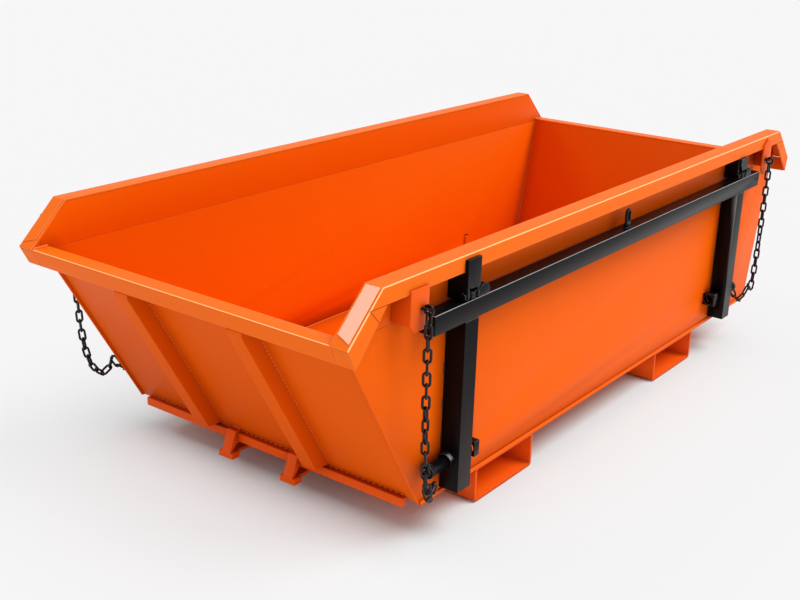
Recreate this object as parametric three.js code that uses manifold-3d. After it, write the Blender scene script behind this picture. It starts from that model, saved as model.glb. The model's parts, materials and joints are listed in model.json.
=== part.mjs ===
// Builders skip with two swinging side flaps, folded rims, fork pockets, tipping hooks and safety chains.
// Millimetres. X runs along the skip from the sloped tipping end (-X) to the steep end (+X).
// Y runs across it from the near side (-Y) to the far side (+Y). Z is up from the ground.
// The origin is on the ground under the middle of the rims.
import * as THREE from "three";
import { mergeVertices } from "three/addons/utils/BufferGeometryUtils.js";
import Module from "manifold-3d";

const wasm = await Module();
wasm.setup();

// Clearances and small common values
const SEAM = 0.4;              // gap left between two welded pieces
const SWING_GAP = 0.6;         // gap between a flap and what it closes against
const OVERLAP = 1;             // how far two solids reach into each other before they are joined
const PAST = 5;                // how far a cutting solid reaches past the material it cuts
const ROUND_STEPS = 16;        // sides of a plain round bar
const PIN_STEPS = 12;
const HEX_SIDES = 6;
const ARC_STEPS = 7;           // steps of a quarter or half round in a drawn outline
const CORNER_STEPS = 3;
const ROUTE_STEPS = 2000;      // how finely the chain's line is followed
const MERGE_DISTANCE = 1e-4;

// Rims: folded angle with a flat top and a fascia
const RIM_LENGTH = 2300;
const RIM_WIDTH = 1000;
const RIM_HEIGHT = 668;
const RIM_SLOPE_RUN = 105;     // length of the part that slopes down at each end of a long rim
const END_RIM_DROP = 100;      // how much lower the end rims lie
const END_RIM_WIDTH = 40;      // from an end rim's outer edge to the wall under it
const RIM_SHEET = 5;
const FASCIA_HEIGHT = 38;
const RIM_TOP_WIDTH = 47;

// Floor, end walls and side plates
const FLOOR_UNDERSIDE = 94;
const FLOOR_SHEET = 5;
const SIDE_SHEET = 4;
const SIDE_LAP = 8;            // side plates stand out past the end walls
const WALL_SHEET = 5;
const LEFT_LEAN = 278;         // how far the foot of an end wall stands in from its top
const RIGHT_LEAN = 97;
const HEADER_DROP = 108.4;     // from the top of the rim down to the top of the flap

// Fork pockets
const POCKET_END_INSET = 670;  // middle of a pocket, in from the end of the rims
const POCKET_WIDTH = 260;
const POCKET_WALL = 7;
const POCKET_CORNER = 10;
const POCKET_SIDE_INSET = 45;  // open end of a pocket, in from the rim's outer edge

// Stiffening ribs on the end walls
const RIB_SPACING = 350;
const RIB_WIDTH = 45;
const RIB_DEPTH = 40;
const RIB_SHEET = 4;
const RIB_RISE = 18;           // foot of a rib over the floor's underside
const RIB_TOP_GAP = 2;

// Bottom rail and tipping hooks on the sloped end
const RAIL = { proud: 22, lap: 9, height: 22, inset: 80 };
const HOOK_SPACING = 204;
const HOOK_WIDTH = 28;
const HOOK_SHEET = 8;
const HOOK_TOE = { reach: 30, depth: 26, bottom: 44, height: 15, width: 46 };

// Flap frame: posts, cross bar, lifting lug
const FRAME_PROUD = 8;         // front plane of posts and bar, out from the rims
const POST_INSET = 409;        // middle of a post, in from the end of the rims
const POST_WIDTH = 50;
const POST_RISE = 17;          // foot of a post over the floor's underside
const POST_SHEET = 5;
const BAR_INSET = 270;         // end of the bar, in from the end of the rims
const BAR_DROP = 103;          // top of the bar under the top of the rims
const BAR_HEIGHT = 45;
const BAR_DEPTH = 40;
const BAR_SHEET = 5;
const LUG = { width: 34, height: 51, thickness: 8, eyeWidth: 13, eyeHeight: 24, eyeTopWall: 9, setback: 16 };

// Flap hinges
const HINGE_DROP = 92;         // pin under the top of the rims
const PIN_RADIUS = 5;
const PIN_FIT = 0.4;
const PIN_HEAD = { radius: 9, length: 5 };
const PIN_NUT = { radius: 9, length: 14 };
const EAR = { radius: 22, offset: 43, thickness: 16, rise: 5 };
const CHEEK_SHEET = 8;
const CHEEK_NOSE = 10;
const HANGER = { drop: 10, height: 66, notchWidth: 14, notchHeight: 18 };

// Locking bolts and their keepers
const BOLT = { setback: 32, z: 184, radius: 15, stand: 76, reach: 30 };
const BOLT_FIT = 0.5;
const COLLAR = { radius: 19, length: 11 };
const BOLT_KNOB = { radius: 17, length: 10 };
const KEEPER = { gap: 2, width: 20, wall: 3.5, stem: 6 };
const KEEPER_SLOT_GAP = 2;
const KEEPER_SLOT_RISE = 6;

// Chain brackets, eyes and chains
const BRACKET = { inset: 187, width: 62, sheet: 6, drop: 28, apexDrop: 8, height: 92, chamfer: 16 };
const FAR_LEFT_INSET = 127;    // the far bracket at the sloped end sits nearer to the corner
const EYE = { inset: 20, drop: 71, reach: 14, gap: 8, wire: 6 };
const RING = { radius: 10.2, wire: 6, steps: 12 };
const LINK = { pitch: 26, wire: 6, width: 20.5, bite: 0.5, sides: 5, steps: 8 };
const CHAIN_END_REACH = 34;    // end of the chain, out from the end of the bolt
// Hanging line of a chain: share of the way in from the eye to the end, share of the height from bolt to eye
const CHAIN_SHARES = [
  [0, 0.96], [0.02, 0.547], [0.08, 0.281], [0.17, 0.136], [0.33, 0.015],
  [0.55, -0.053], [0.72, -0.07], [0.88, -0.039], [1, 0.048],
];

const COLOURS = {
  wall: { color: 0xf25a0c, roughness: 0.42, metalness: 0.0 },
  side: { color: 0xfb6514, roughness: 0.4, metalness: 0.0 },
  rim: { color: 0xfd7a24, roughness: 0.4, metalness: 0.0 },
  fitting: { color: 0xee6418, roughness: 0.45, metalness: 0.0 },
  black: { color: 0x2b2b2b, roughness: 0.45, metalness: 0.2 },
  chain: { color: 0x1b1b1b, roughness: 0.4, metalness: 0.5 },
};

// Plain shapes

function outline(points) {
  const shape = new THREE.Shape();
  points.forEach(([a, b], index) => (index ? shape.lineTo(a, b) : shape.moveTo(a, b)));
  shape.closePath();
  return shape;
}

/** Extrudes an outline drawn in X and Z from y0 to y1. */
function alongY(shape, y0, y1, curveSegments = ARC_STEPS) {
  const geometry = new THREE.ExtrudeGeometry(shape, { depth: y1 - y0, bevelEnabled: false, curveSegments });
  geometry.rotateX(Math.PI / 2);
  return geometry.translate(0, y1, 0);
}

/** Extrudes an outline drawn in Y and Z from x0 to x1. */
function alongX(shape, x0, x1, curveSegments = ARC_STEPS) {
  const geometry = new THREE.ExtrudeGeometry(shape, { depth: x1 - x0, bevelEnabled: false, curveSegments });
  const turn = new THREE.Matrix4().makeBasis(
    new THREE.Vector3(0, 1, 0), new THREE.Vector3(0, 0, 1), new THREE.Vector3(1, 0, 0));
  geometry.applyMatrix4(turn);
  return geometry.translate(x0, 0, 0);
}

function block([x0, x1], [y0, y1], [z0, z1]) {
  const geometry = new THREE.BoxGeometry(x1 - x0, y1 - y0, z1 - z0);
  return geometry.translate((x0 + x1) / 2, (y0 + y1) / 2, (z0 + z1) / 2);
}

/** A round or many-sided bar along X. */
function barX(radius, x0, x1, y, z, sides = ROUND_STEPS) {
  const geometry = new THREE.CylinderGeometry(radius, radius, x1 - x0, sides);
  return geometry.rotateZ(Math.PI / 2).translate((x0 + x1) / 2, y, z);
}

// Joining and cutting

function toManifold(geometry) {
  const bare = geometry.clone();
  bare.deleteAttribute("normal");
  bare.deleteAttribute("uv");
  const merged = mergeVertices(bare, MERGE_DISTANCE);
  return new wasm.Manifold(new wasm.Mesh({
    numProp: 3,
    vertProperties: new Float32Array(merged.attributes.position.array),
    triVerts: new Uint32Array(merged.index.array),
  }));
}

function toGeometry(manifold) {
  const mesh = manifold.getMesh();
  const geometry = new THREE.BufferGeometry();
  geometry.setAttribute("position", new THREE.BufferAttribute(new Float32Array(mesh.vertProperties), 3));
  geometry.setIndex(new THREE.BufferAttribute(new Uint32Array(mesh.triVerts), 1));
  const flat = geometry.toNonIndexed();
  flat.computeVertexNormals();
  return flat;
}

function join(...pieces) {
  return toGeometry(pieces.map(toManifold).reduce((whole, piece) => whole.add(piece)));
}

function cut(body, ...tools) {
  return toGeometry(tools.map(toManifold).reduce((whole, tool) => whole.subtract(tool), toManifold(body)));
}

/** Mirrors a piece across the middle of the skip and keeps its faces pointing outwards. */
function mirrored(geometry, signX, signY) {
  const copy = geometry.index ? geometry.toNonIndexed() : geometry.clone();
  copy.scale(signX, signY, 1);
  if (signX * signY < 0) {
    const position = copy.attributes.position;
    const corner = new THREE.Vector3();
    const other = new THREE.Vector3();
    for (let index = 0; index < position.count; index += 3) {
      corner.fromBufferAttribute(position, index + 1);
      other.fromBufferAttribute(position, index + 2);
      position.setXYZ(index + 1, other.x, other.y, other.z);
      position.setXYZ(index + 2, corner.x, corner.y, corner.z);
    }
  }
  copy.computeVertexNormals();
  return copy;
}

const group = new THREE.Group();
group.name = "builders_skip";

function add(name, geometry, look) {
  const mesh = new THREE.Mesh(geometry, new THREE.MeshStandardMaterial(COLOURS[look]));
  mesh.name = name;
  group.add(mesh);
}

const SIDES = [["near", 1], ["far", -1]];
const ENDS = [["left", 1], ["right", -1]];

// Derived places, all on the near and left side, where x and y are negative
const rimHalf = RIM_LENGTH / 2;
const flatHalf = rimHalf - RIM_SLOPE_RUN;
const rimOuterY = -RIM_WIDTH / 2;
const endRimTop = RIM_HEIGHT - END_RIM_DROP;
const endRimUnderside = endRimTop - RIM_SHEET;
const sideInnerY = rimOuterY + RIM_TOP_WIDTH;
const sideOuterY = sideInnerY - SIDE_SHEET;
const walledY = sideInnerY + SWING_GAP;
const floorTop = FLOOR_UNDERSIDE + FLOOR_SHEET;
const fasciaFoot = RIM_HEIGHT - FASCIA_HEIGHT;
const flapTop = RIM_HEIGHT - HEADER_DROP;
const headerFoot = flapTop + SWING_GAP;
const flapFoot = FLOOR_UNDERSIDE + SWING_GAP;
const wallTop = rimHalf - END_RIM_WIDTH;
const leftWall = { top: wallTop, bottom: wallTop - LEFT_LEAN };
const rightWall = { top: wallTop, bottom: wallTop - RIGHT_LEAN };
const postX = POST_INSET - rimHalf;
const postHalf = POST_WIDTH / 2;
const postFoot = FLOOR_UNDERSIDE + POST_RISE;
const postBackY = sideOuterY - SEAM;
const frameFrontY = rimOuterY - FRAME_PROUD;
const barTop = RIM_HEIGHT - BAR_DROP;
const barFoot = barTop - BAR_HEIGHT;
const earX = postX + EAR.offset;
const hingeY = frameFrontY + EAR.thickness / 2;
const hingeZ = RIM_HEIGHT - HINGE_DROP;
const boltY = frameFrontY + BOLT.setback;
const boltOuterX = postX - postHalf - BOLT.stand;
const boltInnerX = postX + postHalf + BOLT.reach;

// Rims

/** The line of a long rim seen from the side, moved inwards by a depth, from the left end to the right. */
function rimLine(depth) {
  const drop = END_RIM_DROP;
  const run = RIM_SLOPE_RUN;
  const slant = Math.hypot(run, drop);
  const halfTurn = Math.atan2(drop, run) / 2;
  const low = [-rimHalf + depth * drop / slant, endRimTop - depth * run / slant];
  const high = [-flatHalf + depth * Math.tan(halfTurn), RIM_HEIGHT - depth];
  return [low, high, [-high[0], high[1]], [-low[0], low[1]]];
}

function rimBand(depth) {
  return outline([...rimLine(0), ...rimLine(depth).reverse()]);
}

/** The plate that closes the left end of a long rim, square to its sloped part. */
function rimEndPlate() {
  const [[topX, topZ], [highX, highZ]] = rimLine(0);
  const [[footX, footZ]] = rimLine(FASCIA_HEIGHT);
  const slant = Math.hypot(highX - topX, highZ - topZ);
  const alongSlopeX = RIM_SHEET * (highX - topX) / slant;
  const alongSlopeZ = RIM_SHEET * (highZ - topZ) / slant;
  const plate = outline([
    [topX, topZ],
    [footX, footZ],
    [footX + alongSlopeX, footZ + alongSlopeZ],
    [topX + alongSlopeX, topZ + alongSlopeZ],
  ]);
  return alongY(plate, rimOuterY, sideInnerY);
}

const longRim = join(
  alongY(rimBand(RIM_SHEET), rimOuterY, sideInnerY),
  alongY(rimBand(FASCIA_HEIGHT), rimOuterY, rimOuterY + RIM_SHEET),
  rimEndPlate(),
  mirrored(rimEndPlate(), -1, 1));

/** Outer face of an end wall at a height, as a distance from the middle. */
function wallFace(wall, z) {
  const share = (z - FLOOR_UNDERSIDE) / (endRimUnderside - FLOOR_UNDERSIDE);
  return wall.bottom + (wall.top - wall.bottom) * share;
}

/** Thickness of an end wall measured along X. */
function wallRun(wall) {
  const height = endRimUnderside - FLOOR_UNDERSIDE;
  return WALL_SHEET * Math.hypot(height, wall.top - wall.bottom) / height;
}

/** A folded end rim that fits between the two long rims. */
function endRim(wall) {
  const innerX = -wall.top + wallRun(wall);
  const reach = -sideInnerY - SEAM;
  const foot = endRimTop - FASCIA_HEIGHT;
  return join(
    block([-rimHalf, innerX], [-reach, reach], [endRimUnderside, endRimTop]),
    block([-rimHalf, -rimHalf + RIM_SHEET], [-reach, reach], [foot, endRimTop]));
}

for (const [side, signY] of SIDES) {
  add(`long_rim_${side}`, mirrored(longRim, 1, signY), "rim");
}
add("end_rim_left", endRim(leftWall), "rim");
add("end_rim_right", mirrored(endRim(rightWall), -1, 1), "rim");

// Floor and end walls

function endWall(wall) {
  const top = endRimUnderside - SEAM;
  const run = wallRun(wall);
  const profile = outline([
    [-wallFace(wall, FLOOR_UNDERSIDE), FLOOR_UNDERSIDE],
    [-wallFace(wall, FLOOR_UNDERSIDE) + run, FLOOR_UNDERSIDE],
    [-wallFace(wall, top) + run, top],
    [-wallFace(wall, top), top],
  ]);
  return alongY(profile, walledY, -walledY);
}

function floorEdge(wall, z) {
  return wallFace(wall, z) - wallRun(wall) - SEAM;
}

const floorProfile = outline([
  [-floorEdge(leftWall, FLOOR_UNDERSIDE), FLOOR_UNDERSIDE],
  [floorEdge(rightWall, FLOOR_UNDERSIDE), FLOOR_UNDERSIDE],
  [floorEdge(rightWall, floorTop), floorTop],
  [-floorEdge(leftWall, floorTop), floorTop],
]);
add("floor_plate", alongY(floorProfile, walledY, -walledY), "wall");
add("end_wall_left", endWall(leftWall), "wall");
add("end_wall_right", mirrored(endWall(rightWall), -1, 1), "wall");

// Fixed header plates and swinging flap plates

/** Where the lapping edge of a side plate meets the underside of the sloped rim. */
function headerShoulder(wall) {
  const [low, high] = rimLine(RIM_SHEET + SEAM);
  const rimRise = (high[1] - low[1]) / (high[0] - low[0]);
  const wallLean = (wall.top - wall.bottom) / (endRimUnderside - FLOOR_UNDERSIDE);
  const footX = -wallFace(wall, headerFoot) - SIDE_LAP;
  const z = (low[1] + rimRise * (footX + wallLean * headerFoot - low[0])) / (1 + rimRise * wallLean);
  return [footX - wallLean * (z - headerFoot), z];
}

const mirrorPoint = ([x, z]) => [-x, z];
const headerRise = rimLine(RIM_SHEET + SEAM)[1];
const headerProfile = outline([
  [-wallFace(leftWall, headerFoot) - SIDE_LAP, headerFoot],
  [wallFace(rightWall, headerFoot) + SIDE_LAP, headerFoot],
  mirrorPoint(headerShoulder(rightWall)),
  mirrorPoint(headerRise),
  headerRise,
  headerShoulder(leftWall),
]);

const flapProfile = outline([
  [-wallFace(leftWall, flapFoot) - SIDE_LAP, flapFoot],
  [wallFace(rightWall, flapFoot) + SIDE_LAP, flapFoot],
  [wallFace(rightWall, flapTop) + SIDE_LAP, flapTop],
  [-wallFace(leftWall, flapTop) - SIDE_LAP, flapTop],
]);

const keeperHalf = BOLT.radius + BOLT_FIT + KEEPER.wall;
const keeperX = [boltInnerX + KEEPER.gap, boltInnerX + KEEPER.gap + KEEPER.width];
const slot = block(
  [keeperX[0] - KEEPER_SLOT_GAP, keeperX[1] + KEEPER_SLOT_GAP],
  [sideOuterY - PAST, sideInnerY + PAST],
  [BOLT.z - keeperHalf - KEEPER_SLOT_GAP, BOLT.z + keeperHalf + KEEPER_SLOT_RISE]);
const flapPlate = cut(alongY(flapProfile, sideOuterY, sideInnerY), slot, mirrored(slot, -1, 1));

for (const [side, signY] of SIDES) {
  add(`header_plate_${side}`, mirrored(alongY(headerProfile, sideOuterY, sideInnerY), 1, signY), "side");
  add(`flap_plate_${side}`, mirrored(flapPlate, 1, signY), "side");
}

// Fork pockets: rectangular tubes across the skip

function roundedBox(halfWidth, z0, z1, corner) {
  const shape = new THREE.Shape();
  shape.moveTo(-halfWidth + corner, z0);
  shape.lineTo(halfWidth - corner, z0);
  shape.absarc(halfWidth - corner, z0 + corner, corner, -Math.PI / 2, 0);
  shape.lineTo(halfWidth, z1 - corner);
  shape.absarc(halfWidth - corner, z1 - corner, corner, 0, Math.PI / 2);
  shape.lineTo(-halfWidth + corner, z1);
  shape.absarc(-halfWidth + corner, z1 - corner, corner, Math.PI / 2, Math.PI);
  shape.lineTo(-halfWidth, z0 + corner);
  shape.absarc(-halfWidth + corner, z0 + corner, corner, Math.PI, 1.5 * Math.PI);
  return shape;
}

const pocketTop = FLOOR_UNDERSIDE - SEAM;
const pocketEndY = rimOuterY + POCKET_SIDE_INSET;
const pocketShape = roundedBox(POCKET_WIDTH / 2, 0, pocketTop, POCKET_CORNER);
pocketShape.holes.push(roundedBox(
  POCKET_WIDTH / 2 - POCKET_WALL, POCKET_WALL, pocketTop - POCKET_WALL, POCKET_CORNER - POCKET_WALL));
for (const [end, signX] of ENDS) {
  const pocket = alongY(pocketShape, pocketEndY, -pocketEndY, CORNER_STEPS);
  add(`fork_pocket_${end}`, pocket.translate(signX * (POCKET_END_INSET - rimHalf), 0, 0), "fitting");
}

// Ribs: folded channels that follow the end walls

function rib(wall) {
  const foot = FLOOR_UNDERSIDE + RIB_RISE;
  const top = endRimTop - FASCIA_HEIGHT - RIB_TOP_GAP;
  const lean = wallRun(wall) / WALL_SHEET;
  const strip = (inner, outer, z0, z1) => outline([
    [-wallFace(wall, z0) - inner * lean, z0],
    [-wallFace(wall, z1) - inner * lean, z1],
    [-wallFace(wall, z1) - outer * lean, z1],
    [-wallFace(wall, z0) - outer * lean, z0],
  ]);
  const skin = alongY(strip(SEAM, RIB_DEPTH, foot, top), -RIB_WIDTH / 2, RIB_WIDTH / 2);
  const hollow = strip(-PAST, RIB_DEPTH - RIB_SHEET, foot + RIB_SHEET, top + PAST);
  return cut(skin, alongY(hollow, -RIB_WIDTH / 2 + RIB_SHEET, RIB_WIDTH / 2 - RIB_SHEET));
}

for (const [side, signY] of SIDES) {
  const offset = -signY * RIB_SPACING / 2;
  add(`rib_left_${side}`, rib(leftWall).translate(0, offset, 0), "wall");
  add(`rib_right_${side}`, mirrored(rib(rightWall), -1, 1).translate(0, offset, 0), "wall");
}

// Bottom rail and the two tipping hooks folded over it

const railTop = FLOOR_UNDERSIDE + RAIL.lap;
const railFoot = railTop - RAIL.height;
const railOuterX = -leftWall.bottom - RAIL.proud;
const railInnerX = -wallFace(leftWall, railTop) - SEAM;
const railEndY = rimOuterY + RAIL.inset;
add("bottom_rail", block([railOuterX, railInnerX], [railEndY, -railEndY], [railFoot, railTop]), "fitting");

/** A hook folded over the rail, with a toe and a flat bar that runs back to the fork pocket. */
function tippingHook() {
  const tabFoot = railTop + SEAM;
  const tabTop = tabFoot + HOOK_SHEET;
  const tabInner = -wallFace(leftWall, tabTop) - SEAM;
  const backX = railOuterX - SEAM;
  const toeOuter = railOuterX - HOOK_TOE.reach;
  const toeInner = toeOuter + HOOK_TOE.depth;
  const toeTop = HOOK_TOE.bottom + HOOK_TOE.height;
  const plate = outline([
    [tabInner, tabFoot],
    [tabInner, tabTop],
    [backX - HOOK_SHEET, tabTop],
    [toeOuter + OVERLAP, toeTop],
    [toeOuter + OVERLAP, toeTop - OVERLAP],
    [toeOuter + OVERLAP + HOOK_SHEET, toeTop - OVERLAP],
    [backX, railFoot],
    [backX, tabFoot],
  ]);
  const pocketX = POCKET_END_INSET - rimHalf - POCKET_WIDTH / 2 - SEAM;
  return join(
    alongY(plate, -HOOK_WIDTH / 2, HOOK_WIDTH / 2),
    block([toeOuter, toeInner], [-HOOK_TOE.width / 2, HOOK_TOE.width / 2], [HOOK_TOE.bottom, toeTop]),
    block([toeInner - OVERLAP, pocketX], [-HOOK_WIDTH / 2, HOOK_WIDTH / 2], [toeTop - HOOK_SHEET, toeTop]));
}

for (const [side, signY] of SIDES) {
  add(`tipping_hook_${side}`, tippingHook().translate(0, -signY * HOOK_SPACING / 2, 0), "fitting");
}

// Flap frame, all in near-side coordinates

function post() {
  const top = barFoot - SEAM;
  const left = postX - postHalf;
  const right = postX + postHalf;
  const shell = block([left, right], [frameFrontY, postBackY], [postFoot, top]);
  const hollow = block(
    [left + POST_SHEET, right - POST_SHEET],
    [frameFrontY + POST_SHEET, postBackY + PAST],
    [postFoot + POST_SHEET, top + PAST]);
  const collar = barX(COLLAR.radius, left - COLLAR.length, left + OVERLAP, boltY, BOLT.z);
  const bore = barX(BOLT.radius + BOLT_FIT, left - COLLAR.length - PAST, right + PAST, boltY, BOLT.z);
  const behind = block(
    [left - POST_WIDTH, left + PAST], [postBackY, postBackY + POST_WIDTH], [postFoot, barTop]);
  return cut(join(cut(shell, hollow), collar), bore, behind);
}

function crossBar() {
  const half = rimHalf - BAR_INSET;
  const backY = frameFrontY + BAR_DEPTH;
  const shell = block([-half, half], [frameFrontY, backY], [barFoot, barTop]);
  const hollow = block(
    [-half + BAR_SHEET, half - BAR_SHEET],
    [frameFrontY + BAR_SHEET, backY + PAST],
    [barFoot + BAR_SHEET, barTop - BAR_SHEET]);
  return cut(shell, hollow);
}

/** An upright plate with a round top, standing on the bar, with an oblong eye. */
function liftingLug() {
  const foot = barTop + SEAM;
  const top = barTop + LUG.height;
  const half = LUG.width / 2;
  const shape = new THREE.Shape();
  shape.moveTo(-half, foot);
  shape.lineTo(half, foot);
  shape.lineTo(half, top - half);
  shape.absarc(0, top - half, half, 0, Math.PI);
  const eyeTop = top - LUG.eyeTopWall;
  const eyeHalf = LUG.eyeWidth / 2;
  const eye = new THREE.Path();
  eye.moveTo(eyeHalf, eyeTop - LUG.eyeHeight + eyeHalf);
  eye.lineTo(eyeHalf, eyeTop - eyeHalf);
  eye.absarc(0, eyeTop - eyeHalf, eyeHalf, 0, Math.PI);
  eye.lineTo(-eyeHalf, eyeTop - LUG.eyeHeight + eyeHalf);
  eye.absarc(0, eyeTop - LUG.eyeHeight + eyeHalf, eyeHalf, Math.PI, 2 * Math.PI);
  shape.holes.push(eye);
  const frontY = frameFrontY + LUG.setback - LUG.thickness / 2;
  return alongY(shape, frontY, frontY + LUG.thickness);
}

/** A half-round block on the bar with the hinge pin's hole across it. */
function hingeEar() {
  const centreZ = barTop + EAR.rise;
  const shape = new THREE.Shape();
  shape.moveTo(earX - EAR.radius, barTop + SEAM);
  shape.lineTo(earX + EAR.radius, barTop + SEAM);
  shape.lineTo(earX + EAR.radius, centreZ);
  shape.absarc(earX, centreZ, EAR.radius, 0, Math.PI);
  const body = alongY(shape, frameFrontY, frameFrontY + EAR.thickness);
  const [boreStart, boreEnd] = [earX - EAR.radius - PAST, earX + EAR.radius + PAST];
  const bore = barX(PIN_RADIUS + PIN_FIT, boreStart, boreEnd, hingeY, hingeZ, PIN_STEPS);
  return cut(body, bore);
}

// Hinge hangers and pins, fixed to the rim and the header plate

function hanger() {
  const left = postX - postHalf;
  const right = postX + postHalf;
  const front = frameFrontY - SEAM;
  const plateBack = rimOuterY - SEAM;
  const plateTop = RIM_HEIGHT - HANGER.drop;
  const plateFoot = plateTop - HANGER.height;
  const plate = outline([
    [left, plateTop],
    [left, plateFoot + HANGER.notchHeight],
    [left + HANGER.notchWidth, plateFoot],
    [right, plateFoot],
    [right, plateTop],
  ]);
  const cheek = new THREE.Shape();
  cheek.moveTo(postBackY, fasciaFoot - SEAM);
  cheek.lineTo(front, fasciaFoot - SEAM);
  cheek.lineTo(front, hingeZ + CHEEK_NOSE / 2);
  cheek.lineTo(hingeY - CHEEK_NOSE, hingeZ);
  cheek.absarc(hingeY, hingeZ, CHEEK_NOSE, Math.PI, 1.5 * Math.PI);
  cheek.lineTo(postBackY, hingeZ - CHEEK_NOSE);
  const innerCheekX = earX - EAR.radius - SWING_GAP;
  const solid = join(
    alongY(plate, front, plateBack),
    alongX(cheek, left, left + CHEEK_SHEET),
    alongX(cheek, innerCheekX - CHEEK_SHEET, innerCheekX));
  return cut(solid, barX(PIN_RADIUS + PIN_FIT, left - PAST, right + PAST, hingeY, hingeZ, PIN_STEPS));
}

function hingePin() {
  const left = postX - postHalf - SEAM;
  const tail = earX + EAR.radius / 2;
  const nutX = postX - PIN_NUT.length / 2;
  return join(
    barX(PIN_HEAD.radius, left - PIN_HEAD.length, left, hingeY, hingeZ, HEX_SIDES),
    barX(PIN_RADIUS, left - OVERLAP, tail, hingeY, hingeZ, PIN_STEPS),
    barX(PIN_NUT.radius, nutX, nutX + PIN_NUT.length, hingeY, hingeZ, HEX_SIDES));
}

// Locking bolts and keepers

function lockingBolt() {
  return join(
    barX(BOLT.radius, boltOuterX + OVERLAP, boltInnerX, boltY, BOLT.z),
    barX(BOLT_KNOB.radius, boltOuterX, boltOuterX + BOLT_KNOB.length, boltY, BOLT.z));
}

/** A block in front of the flap with a hole for the bolt, on a stem that stands on the floor inside. */
function boltKeeper() {
  const stemY = [walledY, walledY + KEEPER.stem];
  const head = block(keeperX, [boltY - keeperHalf, stemY[1]], [BOLT.z - keeperHalf, BOLT.z + keeperHalf]);
  const stem = block(keeperX, stemY, [floorTop + SEAM, BOLT.z]);
  const bore = barX(BOLT.radius + BOLT_FIT, keeperX[0] - PAST, keeperX[1] + PAST, boltY, BOLT.z);
  return cut(join(head, stem), bore);
}

// Chain brackets, eyes and chains, drawn for an outer edge at a given distance from the middle

const bracketTop = RIM_HEIGHT - BRACKET.drop;
const bracketFoot = bracketTop - BRACKET.height;
const bracketBackY = rimOuterY - SEAM;
const bracketFrontY = bracketBackY - BRACKET.sheet;
const eyeZ = RIM_HEIGHT - EYE.drop;
const eyeBackY = bracketFrontY - SEAM;
const eyeY = eyeBackY - EYE.reach;

/** Folded bracket under the long rim. The ones at the steep end rise to a point over the fascia. */
function chainBracket(outer, pointed) {
  const left = -outer;
  const right = left + BRACKET.width;
  const chamferTop = bracketFoot + BRACKET.chamfer;
  const face = [
    [left, chamferTop],
    [left + BRACKET.chamfer, bracketFoot],
    [right - BRACKET.chamfer, bracketFoot],
    [right, chamferTop],
    [right, bracketTop],
  ];
  if (pointed) {
    face.push([(left + right) / 2, RIM_HEIGHT - BRACKET.apexDrop]);
  }
  face.push([left, bracketTop]);
  const side = outline([
    [bracketFrontY, chamferTop],
    [postBackY, chamferTop],
    [postBackY, fasciaFoot - SEAM],
    [bracketFrontY, fasciaFoot - SEAM],
  ]);
  return join(
    alongY(outline(face), bracketFrontY, bracketBackY),
    alongX(side, left, left + BRACKET.sheet));
}

function eyePlace(outer) {
  return -outer + BRACKET.width - EYE.inset;
}

/** A square staple whose cross bar carries the chain. */
function chainEye(outer) {
  const half = EYE.gap / 2 + EYE.wire;
  const middle = eyePlace(outer);
  const legs = [middle - half, middle + half - EYE.wire].map(
    (x) => block([x, x + EYE.wire], [eyeY, eyeBackY], [eyeZ - EYE.wire / 2, eyeZ + EYE.wire / 2]));
  return join(barX(EYE.wire / 2, middle - half, middle + half, eyeY, eyeZ, PIN_STEPS), ...legs);
}

/** One chain link between two points, flat in the plane of its length and the given side direction. */
function chainLink(from, to, sideways) {
  const bend = (LINK.width - LINK.wire) / 2;
  const centreLength = LINK.pitch + LINK.wire - 2 * LINK.bite;
  const straight = centreLength / 2 - bend;
  const geometry = new THREE.TorusGeometry(bend, LINK.wire / 2, LINK.sides, LINK.steps);
  geometry.rotateZ(Math.PI / LINK.steps);
  const position = geometry.attributes.position;
  for (let index = 0; index < position.count; index += 1) {
    const y = position.getY(index);
    position.setY(index, y + Math.sign(y) * straight);
  }
  const along = new THREE.Vector3().subVectors(to, from).normalize();
  const across = sideways.clone().addScaledVector(along, -sideways.dot(along)).normalize();
  const normal = new THREE.Vector3().crossVectors(across, along);
  geometry.applyMatrix4(new THREE.Matrix4().makeBasis(across, along, normal));
  const middle = new THREE.Vector3().addVectors(from, to).multiplyScalar(0.5);
  return geometry.translate(middle.x, middle.y, middle.z);
}

/** Points one pitch apart along the hanging line of the chain. */
function chainJoints(outer) {
  const startX = eyePlace(outer);
  const endX = boltOuterX - CHAIN_END_REACH;
  const knots = CHAIN_SHARES.map(([inward, height]) => new THREE.Vector3(
    startX + (endX - startX) * inward, eyeY, BOLT.z + (eyeZ - BOLT.z) * height));
  const fine = new THREE.CatmullRomCurve3(knots).getSpacedPoints(ROUTE_STEPS);
  const joints = [fine[0]];
  for (const point of fine) {
    if (point.distanceTo(joints[joints.length - 1]) >= LINK.pitch) {
      joints.push(point);
    }
  }
  return joints;
}

function safetyChain(outer) {
  const ringZ = eyeZ + EYE.wire / 2 + SEAM - RING.radius + RING.wire / 2;
  const ring = new THREE.TorusGeometry(RING.radius, RING.wire / 2, LINK.sides, RING.steps);
  ring.rotateY(Math.PI / 2).translate(eyePlace(outer), eyeY, ringZ);
  const joints = chainJoints(outer);
  const drop = ringZ - RING.radius + RING.wire / 2 - joints[0].z;
  joints.forEach((joint) => joint.setZ(joint.z + drop));
  const facing = [new THREE.Vector3(1, 0, 0), new THREE.Vector3(0, 1, 0)];
  const links = joints.slice(1).map((joint, index) => chainLink(joints[index], joint, facing[index % 2]));
  return join(ring, ...links);
}

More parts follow.
